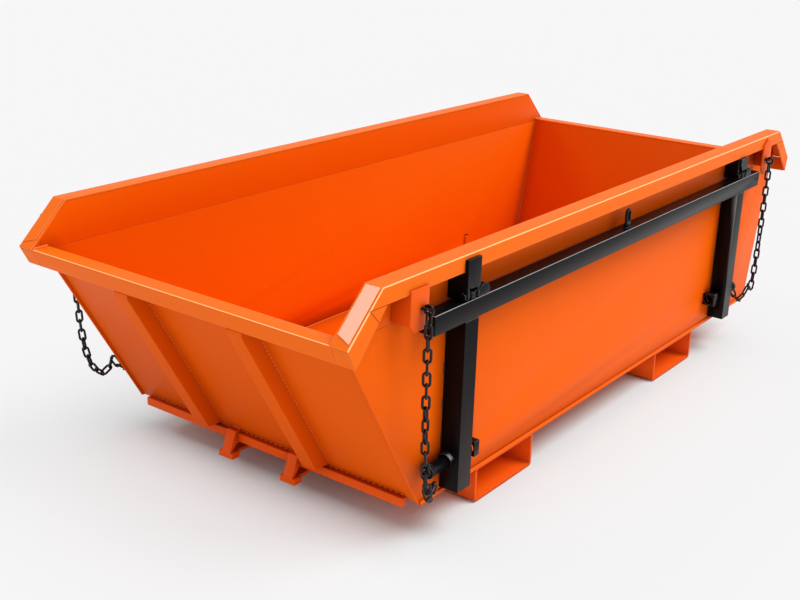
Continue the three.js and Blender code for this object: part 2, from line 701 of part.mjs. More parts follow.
const mirroredShapes = [
  ["flap_post", post()],
  ["locking_bolt", lockingBolt()],
  ["bolt_keeper", boltKeeper()],
];
const movedShapes = [
  ["hinge_hanger", hanger()],
  ["hinge_pin", hingePin()],
  ["hinge_ear", hingeEar()],
];
for (const [side, signY] of SIDES) {
  add(`cross_bar_${side}`, mirrored(crossBar(), 1, signY), "black");
  add(`lifting_lug_${side}`, mirrored(liftingLug(), 1, signY), "black");
  for (const [end, signX] of ENDS) {
    for (const [name, geometry] of mirroredShapes) {
      add(`${name}_${side}_${end}`, mirrored(geometry, signX, signY), "black");
    }
    for (const [name, geometry] of movedShapes) {
      const moved = geometry.clone().translate(signX > 0 ? 0 : -2 * postX, 0, 0);
      add(`${name}_${side}_${end}`, mirrored(moved, 1, signY), "black");
    }
    const inset = side === "far" && end === "left" ? FAR_LEFT_INSET : BRACKET.inset;
    const outer = rimHalf - inset;
    add(`chain_bracket_${side}_${end}`, mirrored(chainBracket(outer, signX < 0), signX, signY), "fitting");
    add(`chain_eye_${side}_${end}`, mirrored(chainEye(outer), signX, signY), "black");
    add(`safety_chain_${side}_${end}`, mirrored(safetyChain(outer), signX, signY), "chain");
  }
}

export default group;
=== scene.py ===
"""Looks of the builders skip: paint, welds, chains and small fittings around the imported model."""
import json
import logging
import math
from dataclasses import dataclass, replace
from enum import Enum

import bmesh
import bpy
from mathutils import Matrix, Vector

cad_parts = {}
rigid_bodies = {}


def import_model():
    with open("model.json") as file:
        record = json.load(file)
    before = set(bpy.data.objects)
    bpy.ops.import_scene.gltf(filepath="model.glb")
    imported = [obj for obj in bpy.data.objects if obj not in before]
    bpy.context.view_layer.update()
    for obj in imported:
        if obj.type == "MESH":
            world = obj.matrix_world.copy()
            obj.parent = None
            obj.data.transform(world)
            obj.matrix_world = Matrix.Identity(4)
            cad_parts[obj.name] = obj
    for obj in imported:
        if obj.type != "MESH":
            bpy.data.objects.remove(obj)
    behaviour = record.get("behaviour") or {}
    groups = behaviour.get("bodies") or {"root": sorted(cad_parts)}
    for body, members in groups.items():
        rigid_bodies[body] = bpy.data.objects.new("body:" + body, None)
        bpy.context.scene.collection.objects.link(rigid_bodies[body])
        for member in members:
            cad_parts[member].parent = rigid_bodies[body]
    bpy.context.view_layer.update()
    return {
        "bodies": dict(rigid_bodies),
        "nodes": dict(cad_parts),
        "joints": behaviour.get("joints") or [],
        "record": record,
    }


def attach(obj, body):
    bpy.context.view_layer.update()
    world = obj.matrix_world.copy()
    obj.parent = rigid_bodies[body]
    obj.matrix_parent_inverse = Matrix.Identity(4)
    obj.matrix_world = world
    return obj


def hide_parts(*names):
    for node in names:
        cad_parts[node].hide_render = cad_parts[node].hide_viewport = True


LOG = logging.getLogger("skip")
BODY = "skip_body"
SHARP_ANGLE = math.radians(34)
BEVEL_STEPS = 2

# The screen's standard curve: a straight foot, and a power above it.
CURVE_FOOT = 0.04045
CURVE_SLOPE = 12.92
CURVE_LIFT = 0.055
CURVE_POWER = 2.4


class Side(Enum):
    """Long sides of the skip, with the sign of their Y."""

    NEAR = ("near", -1.0)
    FAR = ("far", 1.0)

    def __init__(self, word: str, sign: float) -> None:
        """Keeps the side's word and sign."""
        self.word = word
        self.sign = sign


class End(Enum):
    """Ends of the skip, with the sign of their X."""

    LEFT = ("left", -1.0)
    RIGHT = ("right", 1.0)

    def __init__(self, word: str, sign: float) -> None:
        """Keeps the end's word and sign."""
        self.word = word
        self.sign = sign


# Colours and node trees


def linear(red: int, green: int, blue: int) -> tuple[float, float, float, float]:
    """Turns a screen colour into the linear one that a shader takes.

    Args:
        red, green, blue: The colour from 0 to 255.

    Returns:
        Linear red, green and blue with full alpha.
    """

    def channel(value: int) -> float:
        """Undoes the screen's curve for one channel.

        Args:
            value: The channel from 0 to 255.

        Returns:
            The linear value.
        """
        share = value / 255
        if share <= CURVE_FOOT:
            return share / CURVE_SLOPE
        return ((share + CURVE_LIFT) / (1 + CURVE_LIFT)) ** CURVE_POWER

    return (channel(red), channel(green), channel(blue), 1.0)


class Tree:
    """A short way to place and join nodes in one tree."""

    # A Mix node has a set of sockets for each kind of data, and these are the colour ones.
    MIX_INPUTS = (0, 6, 7)
    MIX_RESULT = 2

    def __init__(self, tree: bpy.types.NodeTree) -> None:
        """Takes the tree to work in."""
        self.tree = tree

    def node(self, kind: str, **settings: object) -> bpy.types.Node:
        """Adds a node.

        Args:
            kind: Blender's name of the node.
            settings: Properties of the node, or the values of its inputs by name.

        Returns:
            The new node.
        """
        made = self.tree.nodes.new(kind)
        for name, value in settings.items():
            if hasattr(made, name):
                setattr(made, name, value)
            else:
                made.inputs[name.replace("_", " ")].default_value = value
        return made

    def effect(self, group: bpy.types.NodeTree, **values: object) -> bpy.types.Node:
        """Adds a shared node group with its own input values."""
        return self.node("ShaderNodeGroup", node_tree=group, **values)

    def join(self, source: bpy.types.NodeSocket, target: bpy.types.NodeSocket) -> None:
        """Links one socket to another."""
        self.tree.links.new(source, target)

    def feed(self, value: object, target: bpy.types.NodeSocket) -> None:
        """Links a socket to an input, or gives the input a plain value.

        Args:
            value: A socket, or a number or colour.
            target: The input.
        """
        if isinstance(value, bpy.types.NodeSocket):
            self.join(value, target)
        else:
            target.default_value = value

    def maths(
        self, operation: str, first: object, second: object = 0.5, clamp: bool = False
    ) -> bpy.types.NodeSocket:
        """Adds a Math node on two sockets or numbers.

        Args:
            operation: The Math node's operation.
            first, second: A socket or a number each.
            clamp: Whether the result stays between zero and one.

        Returns:
            The node's output.
        """
        made = self.node("ShaderNodeMath", operation=operation, use_clamp=clamp)
        self.feed(first, made.inputs[0])
        self.feed(second, made.inputs[1])
        return made.outputs[0]

    def mix(
        self, share: bpy.types.NodeSocket, base: object, top: object, blend: str = "MIX"
    ) -> bpy.types.NodeSocket:
        """Adds a Mix node on two colours.

        Args:
            share: How much of the top colour shows.
            base, top: A socket or a colour each.
            blend: The way in which the top colour goes over the base.

        Returns:
            The mixed colour.
        """
        made = self.node("ShaderNodeMix", data_type="RGBA", blend_type=blend)
        for place, value in zip(self.MIX_INPUTS, (share, base, top)):
            self.feed(value, made.inputs[place])
        return made.outputs[self.MIX_RESULT]

    def place(self) -> bpy.types.NodeSocket:
        """Gives the place on a piece in the piece's own frame."""
        return self.node("ShaderNodeTexCoord").outputs["Object"]

    def parts(self, vector: bpy.types.NodeSocket) -> bpy.types.NodeOutputs:
        """Splits a vector into X, Y and Z.

        Args:
            vector: The vector.

        Returns:
            The three outputs by name.
        """
        made = self.node("ShaderNodeSeparateXYZ")
        self.join(vector, made.inputs[0])
        return made.outputs

    def noise(self, scale: object, detail: float, roughness: float = 0.5) -> bpy.types.NodeSocket:
        """Adds soft noise over a piece's own frame.

        Args:
            scale: A socket or a number.
            detail: How many finer layers it has.
            roughness: How strong the finer layers are.

        Returns:
            The noise, from zero to one.
        """
        made = self.node("ShaderNodeTexNoise", Detail=detail, Roughness=roughness)
        self.join(self.place(), made.inputs["Vector"])
        self.feed(scale, made.inputs["Scale"])
        return made.outputs["Fac"]


class Effects:
    """Node groups that several finishes share."""

    EDGE_GAIN = 6.0
    EDGE_SAMPLES = 4
    SPOT_SCALE = 60.0
    SHADE_SAMPLES = 8
    SHEET_SCALE = 7.0
    # The painted edge highlights fade on edges that face down, as if lit from above.
    UPWARD_FROM = 0.15
    UPWARD_GAIN = 3.0
    SECTION_UPWARD_GAIN = 4.0

    def __init__(self) -> None:
        """Builds each group once."""
        self.tone = self._tone_drift()
        self.peel = self._orange_peel()
        # The painted highlight along sharp edges.
        self.edge = self._painted_edge_highlight()
        self.dust = self._settled_dust()
        self.crevice = self._crevice_shade()
        # The painted highlight on square sections' upper edges.
        self.section = self._section_edge_highlight()

    @staticmethod
    def _group(
        name: str, inputs: dict[str, tuple[str, object]], outputs: dict[str, str]
    ) -> tuple[bpy.types.NodeTree, Tree, bpy.types.Node, bpy.types.Node]:
        """Makes an empty group with its sockets.

        Args:
            name: The group's name.
            inputs: Socket type and default value by name.
            outputs: Socket type by name.

        Returns:
            The group, its Tree, its input node and its output node.
        """
        group = bpy.data.node_groups.new(name, "ShaderNodeTree")
        for word, (kind, value) in inputs.items():
            socket = group.interface.new_socket(name=word, in_out="INPUT", socket_type=kind)
            socket.default_value = value
        for word, kind in outputs.items():
            group.interface.new_socket(name=word, in_out="OUTPUT", socket_type=kind)
        tree = Tree(group)
        return group, tree, tree.node("NodeGroupInput"), tree.node("NodeGroupOutput")

    def _upward(self, tree: Tree, normal: bpy.types.NodeSocket, gain: float) -> bpy.types.NodeSocket:
        """Masks what faces up by a normal, and fills faster with a greater gain."""
        past = tree.maths("SUBTRACT", tree.parts(normal)["Z"], self.UPWARD_FROM)
        return tree.maths("MULTIPLY", past, gain, clamp=True)

    def _tone_drift(self) -> bpy.types.NodeTree:
        """Slow change of a paint's tone over a sheet.

        Returns:
            The node group.
        """
        group, tree, source, result = self._group(
            "tone_drift",
            {
                "Colour": ("NodeSocketColor", (0.8, 0.8, 0.8, 1.0)),
                "Scale": ("NodeSocketFloat", 3.0),
                "Amount": ("NodeSocketFloat", 0.06),
            },
            {"Colour": "NodeSocketColor", "Mask": "NodeSocketFloat"},
        )
        cloud = tree.noise(source.outputs["Scale"], detail=5.0, roughness=0.6)
        centred = tree.maths("SUBTRACT", cloud, 0.5)
        shift = tree.maths("MULTIPLY", centred, source.outputs["Amount"])
        paint = tree.node("ShaderNodeHueSaturation")
        tree.join(tree.maths("ADD", shift, 1.0), paint.inputs["Value"])
        tree.join(source.outputs["Colour"], paint.inputs["Color"])
        tree.join(paint.outputs["Color"], result.inputs["Colour"])
        tree.join(cloud, result.inputs["Mask"])
        return group

    def _orange_peel(self) -> bpy.types.NodeTree:
        """Fine ripple of sprayed paint as a height.

        Returns:
            The node group.
        """
        group, tree, source, result = self._group(
            "orange_peel",
            {"Scale": ("NodeSocketFloat", 220.0), "Waviness": ("NodeSocketFloat", 0.5)},
            {"Height": "NodeSocketFloat"},
        )
        fine = tree.noise(source.outputs["Scale"], detail=2.0)
        broad = tree.noise(self.SHEET_SCALE, detail=1.0)
        sheet = tree.maths("MULTIPLY", broad, source.outputs["Waviness"])
        tree.join(tree.maths("ADD", fine, sheet), result.inputs["Height"])
        return group

    def _painted_edge_highlight(self) -> bpy.types.NodeTree:
        """Mask of a painted highlight in narrow bands along sharp edges, broken up a little and weaker
        where they face down.

        Returns:
            The node group.
        """
        group, tree, source, result = self._group(
            "painted_edge_highlight",
            {
                "Radius": ("NodeSocketFloat", 0.003),
                "Breakup": ("NodeSocketFloat", 0.3),
                "Upward": ("NodeSocketFloat", 0.5),
            },
            {"Mask": "NodeSocketFloat"},
        )
        rounded = tree.node("ShaderNodeBevel", samples=self.EDGE_SAMPLES)
        tree.join(source.outputs["Radius"], rounded.inputs["Radius"])
        geometry = tree.node("ShaderNodeNewGeometry")
        match = tree.node("ShaderNodeVectorMath", operation="DOT_PRODUCT")
        tree.join(rounded.outputs["Normal"], match.inputs[0])
        tree.join(geometry.outputs["Normal"], match.inputs[1])
        bend = tree.maths("SUBTRACT", 1.0, match.outputs["Value"])
        spots = tree.noise(self.SPOT_SCALE, detail=3.0)
        loss = tree.maths("MULTIPLY", spots, source.outputs["Breakup"])
        whole = tree.maths("SUBTRACT", 1.0, loss)
        mask = tree.maths("MULTIPLY", tree.maths("MULTIPLY", bend, self.EDGE_GAIN), whole, clamp=True)
        upward = self._upward(tree, rounded.outputs["Normal"], self.UPWARD_GAIN)
        drop = tree.maths("MULTIPLY", tree.maths("SUBTRACT", 1.0, upward), source.outputs["Upward"])
        kept = tree.maths("SUBTRACT", 1.0, drop)
        tree.join(tree.maths("MULTIPLY", mask, kept), result.inputs["Mask"])
        return group

    def _section_edge_highlight(self) -> bpy.types.NodeTree:
        """Mask of a painted highlight on a square section's rounded upper edges, where its normal
        leaves all three axes.

        Returns:
            The node group.
        """
        group, tree, source, result = self._group(
            "section_edge",
            {"Limit": ("NodeSocketFloat", 0.97), "Gain": ("NodeSocketFloat", 8.0)},
            {"Mask": "NodeSocketFloat"},
        )
        normal = tree.node("ShaderNodeTexCoord").outputs["Normal"]
        sizes = [tree.maths("ABSOLUTE", share) for share in tree.parts(normal)]
        largest = tree.maths("MAXIMUM", tree.maths("MAXIMUM", sizes[0], sizes[1]), sizes[2])
        room = tree.maths("SUBTRACT", source.outputs["Limit"], largest)
        slant = tree.maths("MULTIPLY", room, source.outputs["Gain"], clamp=True)
        upward = self._upward(tree, normal, self.SECTION_UPWARD_GAIN)
        tree.join(tree.maths("MULTIPLY", slant, upward), result.inputs["Mask"])
        return group

    def _crevice_shade(self) -> bpy.types.NodeTree:
        """Mask of corners and crevices that little light reaches.

        Returns:
            The node group.
        """
        group, tree, source, result = self._group(
            "crevice_shade",
            {"Reach": ("NodeSocketFloat", 0.05), "Amount": ("NodeSocketFloat", 0.5)},
            {"Mask": "NodeSocketFloat"},
        )
        open_sky = tree.node("ShaderNodeAmbientOcclusion", samples=self.SHADE_SAMPLES)
        tree.join(source.outputs["Reach"], open_sky.inputs["Distance"])
        shut = tree.maths("SUBTRACT", 1.0, open_sky.outputs["AO"])
        tree.join(tree.maths("MULTIPLY", shut, source.outputs["Amount"]), result.inputs["Mask"])
        return group

    def _settled_dust(self) -> bpy.types.NodeTree:
        """Mask of thin dust that lies on upward faces in soft patches.

        Returns:
            The node group.
        """
        group, tree, source, result = self._group(
            "settled_dust",
            {"Scale": ("NodeSocketFloat", 9.0), "Amount": ("NodeSocketFloat", 0.1)},
            {"Mask": "NodeSocketFloat"},
        )
        geometry = tree.node("ShaderNodeNewGeometry")
        upward = tree.maths("MAXIMUM", tree.parts(geometry.outputs["Normal"])["Z"], 0.0)
        cloud = tree.noise(source.outputs["Scale"], detail=6.0, roughness=0.65)
        patch = tree.maths("MULTIPLY", cloud, upward)
        tree.join(tree.maths("MULTIPLY", patch, source.outputs["Amount"]), result.inputs["Mask"])
        return group


@dataclass(frozen=True)
class Paint:
    """A sprayed paint on steel sheet or bar."""

    name: str
    colour: tuple[int, int, int]
    # The second colour and its share paint a highlight along rounded edges.
    edge_highlight_colour: tuple[int, int, int]
    roughness: float = 0.46
    roughness_spread: float = 0.12
    specular: float = 0.16
    coat: float = 0.0
    coat_roughness: float = 0.1
    edge_radius: float = 0.0022
    edge_highlight_share: float = 0.4
    drift: float = 0.07
    peel_height: float = 0.00005
    peel_strength: float = 0.6
    dust: float = 0.006
    dust_colour: tuple[int, int, int] = (205, 190, 172)
    shade_colour: tuple[int, int, int] = (120, 20, 0)
    shade_amount: float = 0.8
    shade_reach: float = 0.05
    square_section: bool = False
    inner_colour: tuple[int, int, int] | None = None
    inner_reach: float = 0.4572

    def material(self, effects: Effects) -> bpy.types.Material:
        """Builds the paint's material.

        Args:
            effects: The shared node groups.

        Returns:
            The material.
        """
        made = bpy.data.materials.new(self.name)
        made.use_nodes = True
        made.diffuse_color = linear(*self.colour)
        tree = Tree(made.node_tree)
        shader = made.node_tree.nodes["Principled BSDF"]
        shader.inputs["Specular IOR Level"].default_value = self.specular
        shader.inputs["Coat Weight"].default_value = self.coat
        shader.inputs["Coat Roughness"].default_value = self.coat_roughness
        tone = tree.effect(effects.tone, Colour=linear(*self.colour), Amount=self.drift)
        colour = self._layers(tree, effects, tone.outputs["Colour"])
        if self.inner_colour:
            colour = self._inner(tree, colour)
        tree.join(colour, shader.inputs["Base Color"])
        uneven = tree.maths("MULTIPLY", tone.outputs["Mask"], self.roughness_spread)
        lowest = self.roughness - self.roughness_spread / 2
        tree.join(tree.maths("ADD", uneven, lowest), shader.inputs["Roughness"])
        peel = tree.effect(effects.peel)
        bump = tree.node("ShaderNodeBump", Distance=self.peel_height, Strength=self.peel_strength)
        tree.join(peel.outputs["Height"], bump.inputs["Height"])
        tree.join(bump.outputs["Normal"], shader.inputs["Normal"])
        return made

    def _layers(
        self, tree: Tree, effects: Effects, colour: bpy.types.NodeSocket
    ) -> bpy.types.NodeSocket:
        """Lays painted edge highlights, dust and painted crevice shade over the paint's tone.

        Args:
            tree: The material's tree.
            effects: The shared node groups.
            colour: The paint's tone.

        Returns:
            The layered colour.
        """
        # Painted highlight along the edges, mixed over the tone.
        if self.square_section:
            edge = tree.effect(effects.section)
        else:
            edge = tree.effect(effects.edge, Radius=self.edge_radius)
        edge_highlight_share = tree.maths("MULTIPLY", edge.outputs["Mask"], self.edge_highlight_share)
        colour = tree.mix(edge_highlight_share, colour, linear(*self.edge_highlight_colour))
        dust = tree.effect(effects.dust, Amount=self.dust)
        colour = tree.mix(dust.outputs["Mask"], colour, linear(*self.dust_colour))
        crevice = tree.effect(effects.crevice, Reach=self.shade_reach, Amount=self.shade_amount)
        return tree.mix(crevice.outputs["Mask"], colour, linear(*self.shade_colour))

    def _inner(self, tree: Tree, colour: bpy.types.NodeSocket) -> bpy.types.NodeSocket:
        """Lays another colour over what lies inside the skip.

        Args:
            tree: The material's tree.
            colour: The colour outside.

        Returns:
            The mixed colour.
        """
        across = tree.maths("ABSOLUTE", tree.parts(tree.place())["Y"])
        inside = tree.maths("LESS_THAN", across, self.inner_reach)
        return tree.mix(inside, colour, linear(*self.inner_colour))


class Finishes:
    """Every finish of the skip, by the slot of the record that it answers to."""

    SHELL_ORANGE = (232, 94, 2)
    RIM_ORANGE = (243, 108, 12)
    SEAM_ORANGE = (158, 44, 4)
    DEEP_BLACK = (0, 0, 0)
    # Each paint's second colour is the painted highlight along its edges.
    SLOTS = {
        "shell_paint": Paint(
            "shell_orange", SHELL_ORANGE, (255, 128, 44), specular=0.06, shade_amount=0.45
        ),
        "side_paint": Paint(
            "side_orange", (246, 99, 2), (255, 146, 66), roughness=0.42, specular=0.05
        ),
        "rim_paint": Paint(
            "rim_orange", RIM_ORANGE, (255, 196, 130), specular=0.07, edge_highlight_share=0.7, shade_amount=0.3
        ),
        "fitting_paint": Paint(
            "fitting_orange", (242, 92, 8), (255, 158, 84), specular=0.12, edge_radius=0.002
        ),
        "frame_black": Paint(
            "frame_black",
            (9, 9, 10),
            (170, 172, 176),
            roughness=0.3,
            specular=0.1,
            edge_radius=0.0018,
            edge_highlight_share=0.9,
            dust=0.002,
            shade_colour=DEEP_BLACK,
        ),
        "chain_black": Paint(
            "chain_black",
            (5, 5, 6),
            (60, 60, 62),
            roughness=0.22,
            specular=0.3,
            edge_radius=0.0006,
            edge_highlight_share=0.2,
            dust=0.0,
            shade_colour=DEEP_BLACK,
        ),
    }
    KEEPER = replace(SLOTS["frame_black"], name="keeper_black", inner_colour=SHELL_ORANGE)
    # A copy of the frame black with a brighter painted highlight on the upper edges of square
    # sections.
    SECTION = replace(
        SLOTS["frame_black"], name="section_black_highlit", edge_highlight_colour=(186, 187, 190), square_section=True
    )
    # The near slope plates' paint: paler than the rim orange, with bright edges, a painted highlight,
    # and a glossy clear coat; the far plates keep the plain rim orange.
    SLOPE = Paint(
        "slope_orange",
        (246, 118, 40),
        (255, 226, 190),
        roughness=0.4,
        specular=0.2,
        coat=1.0,
        coat_roughness=0.2,
        edge_radius=0.0014,
        edge_highlight_share=0.9,
        shade_amount=0.0,
    )
    FAR_SLOPE = Paint(
        "far_slope_orange",
        RIM_ORANGE,
        (255, 206, 150),
        specular=0.07,
        edge_radius=0.0016,
        edge_highlight_share=0.8,
        shade_amount=0.0,
    )
    # A pale paint for the rims' rounded folds: a painted highlight where they face up and out.
    FOLD_HIGHLIGHT = Paint(
        "fold_highlight",
        (255, 200, 136),
        (255, 214, 160),
        roughness=0.3,
        specular=0.3,
        edge_radius=0.001,
        edge_highlight_share=0.5,
        shade_amount=0.2,
    )
    WELD = Paint(
        "weld_orange",
        (250, 112, 26),
        (255, 176, 110),
        roughness=0.3,
        specular=0.4,
        edge_radius=0.001,
        edge_highlight_share=0.5,
        shade_amount=0.2,
    )
    WELD_BLACK = Paint(
        "weld_black",
        (12, 12, 13),
        (110, 110, 112),
        roughness=0.28,
        specular=0.4,
        edge_radius=0.0008,
        edge_highlight_share=0.5,
        dust=0.0,
        shade_colour=DEEP_BLACK,
    )
    SEAM = Paint(
        "seam_shadow", SEAM_ORANGE, SEAM_ORANGE, roughness=0.6, specular=0.05, edge_highlight_share=0.0
    )

    def __init__(self, effects: Effects) -> None:
        """Builds the materials.

        Args:
            effects: The shared node groups.
        """
        self.by_slot = {slot: paint.material(effects) for slot, paint in self.SLOTS.items()}
        self.slope = self.SLOPE.material(effects)
        self.weld = self.WELD.material(effects)
        self.weld_black = self.WELD_BLACK.material(effects)
        self.seam = self.SEAM.material(effects)
        self.far_slope = self.FAR_SLOPE.material(effects)
        self.keeper = self.KEEPER.material(effects)
        self.section = self.SECTION.material(effects)
        # The painted fold highlight.
        self.fold = self.FOLD_HIGHLIGHT.material(effects)


# Mesh helpers


def circle(centre: Vector, first: Vector, second: Vector, radius: float, count: int) -> list[Vector]:
    """Places points round a circle that lies in the plane of two square directions."""
    turns = [2 * math.pi * step / count for step in range(count)]
    return [centre + (first * math.cos(turn) + second * math.sin(turn)) * radius for turn in turns]


def piece(
    name: str,
    mesh: bmesh.types.BMesh,
    material: bpy.types.Material,
    body: str,
    smooth: bool = True,
) -> bpy.types.Object:
    """Turns a bmesh into a piece that rides on a body.

    Args:
        name: The piece's name.
        mesh: Its faces, in the skip's frame. It is freed here.
        material: Its finish.
        body: The body that it rides on.
        smooth: Whether its faces are shaded smooth.

    Returns:
        The object.
    """
    bmesh.ops.recalc_face_normals(mesh, faces=mesh.faces)
    data = bpy.data.meshes.new(name)
    mesh.to_mesh(data)
    mesh.free()
    for face in data.polygons:
        face.use_smooth = smooth
    data.materials.append(material)
    made = bpy.data.objects.new(name, data)
    bpy.context.scene.collection.objects.link(made)
    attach(made, body)
    LOG.info("piece %s on %s", name, body)
    return made


def ring_sweep(mesh: bmesh.types.BMesh, rings: list[list[Vector]], closed: bool) -> None:
    """Skins rings of points into a tube.

    Args:
        mesh: The bmesh to add to.
        rings: Rings with the same number of points each.
        closed: Whether the last ring joins the first. An open tube gets end faces.
    """
    rows = [[mesh.verts.new(point) for point in ring] for ring in rings]
    count = len(rows[0])
    spans = len(rows) if closed else len(rows) - 1
    for row in range(spans):
        here = rows[row]
        there = rows[(row + 1) % len(rows)]
        for step in range(count):
            following = (step + 1) % count
            mesh.faces.new((here[step], here[following], there[following], there[step]))
    if not closed:
        mesh.faces.new(list(reversed(rows[0])))
        mesh.faces.new(rows[-1])


def prism(mesh: bmesh.types.BMesh, outline: list[Vector], depth: Vector) -> None:
    """Adds a closed plate: an outline and the same outline moved by a depth."""
    ring_sweep(mesh, [list(outline), [point + depth for point in outline]], closed=False)


def tube_along(mesh: bmesh.types.BMesh, path: list[Vector], radius: float, sides: int) -> None:
    """Adds a round wire along a path.

    Args:
        mesh: The bmesh to add to.
        path: The wire's middle line.
        radius: The wire's radius.
        sides: Points round the wire.
    """
    rings = []
    across = None
    for place, point in enumerate(path):
        before = path[max(place - 1, 0)]
        after = path[min(place + 1, len(path) - 1)]
        along = (after - before).normalized()
        if across is None:
            across = along.orthogonal().normalized()
        across = (across - along * across.dot(along)).normalized()
        rings.append(circle(point, across, along.cross(across), radius, sides))
    ring_sweep(mesh, rings, closed=False)


def fillet(
    before: Vector, corner: Vector, after: Vector, radius: float, steps: int = 4
) -> list[Vector]:
    """Rounds one corner of a flat outline.

    Args:
        before, corner, after: The corner and its neighbours.
        radius: The rounding's radius.
        steps: Spans along the rounding.

    Returns:
        The points that take the corner's place.
    """
    inward = (before - corner).normalized()
    outward = (after - corner).normalized()
    half = inward.angle(outward) / 2
    centre = corner + (inward + outward).normalized() * radius / math.sin(half)
    reach = radius / math.tan(half)
    first = corner + inward * reach - centre
    last = corner + outward * reach - centre
    turn = first.angle(last)
    points = []
    for step in range(steps + 1):
        leave = math.sin(turn * (1 - step / steps))
        near = math.sin(turn * step / steps)
        points.append(centre + (first * leave + last * near) / math.sin(turn))
    return points


def soften(made: bpy.types.Object, width: float) -> None:
    """Rounds a piece's sharp edges with a narrow bevel.

    Args:
        made: The piece.
        width: The bevel's width.
    """
    edge = made.modifiers.new("edge", "BEVEL")
    edge.width = width
    edge.segments = BEVEL_STEPS
    edge.limit_method = "ANGLE"
    edge.angle_limit = SHARP_ANGLE
    edge.harden_normals = True


@dataclass(frozen=True)
class Bead:
    """A run of weld: small overlapping scales laid along a line."""

    radius: float = 0.0016
    scale_length: float = 0.004
    scale_steps: int = 4
    relief: float = 0.22
    tip_share: float = 0.35
    sides: int = 8

    def lay(self, mesh: bmesh.types.BMesh, start: Vector, end: Vector) -> None:
        """Adds one run to a bmesh.

        Args:
            mesh: The bmesh to add to.
            start, end: The run's ends.
        """
        run = end - start
        scales = max(2, round(run.length / self.scale_length))
        steps = scales * self.scale_steps
        along = run.normalized()
        across = along.orthogonal().normalized()
        other = along.cross(across)
        rings = []
        for step in range(steps + 1):
            share = step / steps
            ripple = 1 + self.relief * (abs(math.sin(math.pi * scales * share)) - 0.5)
            taper = min(1.0, min(share, 1 - share) * scales + self.tip_share)
            radius = self.radius * ripple * taper
            rings.append(circle(start + run * share, across, other, radius, self.sides))
        ring_sweep(mesh, rings, closed=False)

    def stitch(
        self, mesh: bmesh.types.BMesh, start: Vector, end: Vector, length: float, pitch: float
    ) -> None:
        """Adds short runs with gaps between them.

        Args:
            mesh: The bmesh to add to.
            start, end: The ends of the whole seam.
            length: The length of one short run.
            pitch: The distance from one run to the next.
        """
        seam = end - start
        along = seam.normalized()
        count = max(1, int((seam.length - length) / pitch) + 1)
        slack = (seam.length - (count - 1) * pitch - length) / 2
        for number in range(count):
            near = start + along * (slack + number * pitch)
            self.lay(mesh, near, near + along * length)


@dataclass(frozen=True)
class RoundLink:
    """A closed link of round wire: two half rings and, in a chain, two straight sides."""

    wire: float
    bend: float
    straight: float = 0.0
    steps: int = 28
    sides: int = 10

    def add(self, mesh: bmesh.types.BMesh, middle: Vector, along: Vector, across: Vector) -> None:
        """Adds the link to a mesh.

        Args:
            mesh: The bmesh to add to.
            middle: The link's centre.
            along: The direction of its length.
            across: The direction of its width.
        """
        normal = across.cross(along)
        rings = []
        for step in range(self.steps):
            turn = 2 * math.pi * (step + 0.5) / self.steps
            outward = across * math.cos(turn) + along * math.sin(turn)
            shift = math.copysign(self.straight, math.sin(turn))
            centre = middle + outward * self.bend + along * shift
            rings.append(circle(centre, outward, normal, self.wire / 2, self.sides))
        ring_sweep(mesh, rings, closed=True)


# The skip's sub-assemblies


@dataclass(frozen=True)
class Shell:
    """Sizes of the body that several sub-assemblies share, on the near and left side."""

    end_x: float = 1.150
    flat_x: float = 1.045
    outer_y: float = 0.500
    inner_y: float = 0.453
    top: float = 0.668
    end_top: float = 0.568
    sheet: float = 0.005
    fascia: float = 0.038
    floor_underside: float = 0.094
    floor_top: float = 0.099
    wall_top_x: float = 1.110
    left_lean: float = 0.278
    right_lean: float = 0.097
    wall_height: float = 0.469
    skin_y: float = 0.457

    def lean(self, end: End) -> float:
        """How far an end wall's foot stands in from its top."""
        return self.left_lean if end is End.LEFT else self.right_lean

    def wall_outside(self, end: End, z: float) -> float:
        """Where an end wall's outer face is at a height."""
        share = (z - self.floor_underside) / self.wall_height
        return end.sign * (self.wall_top_x - self.lean(end) * (1 - share))

    def wall_inside(self, end: End, z: float) -> float:
        """Where an end wall's inner face is at a height."""
        run = self.sheet * math.hypot(self.wall_height, self.lean(end)) / self.wall_height
        return self.wall_outside(end, z) - end.sign * run


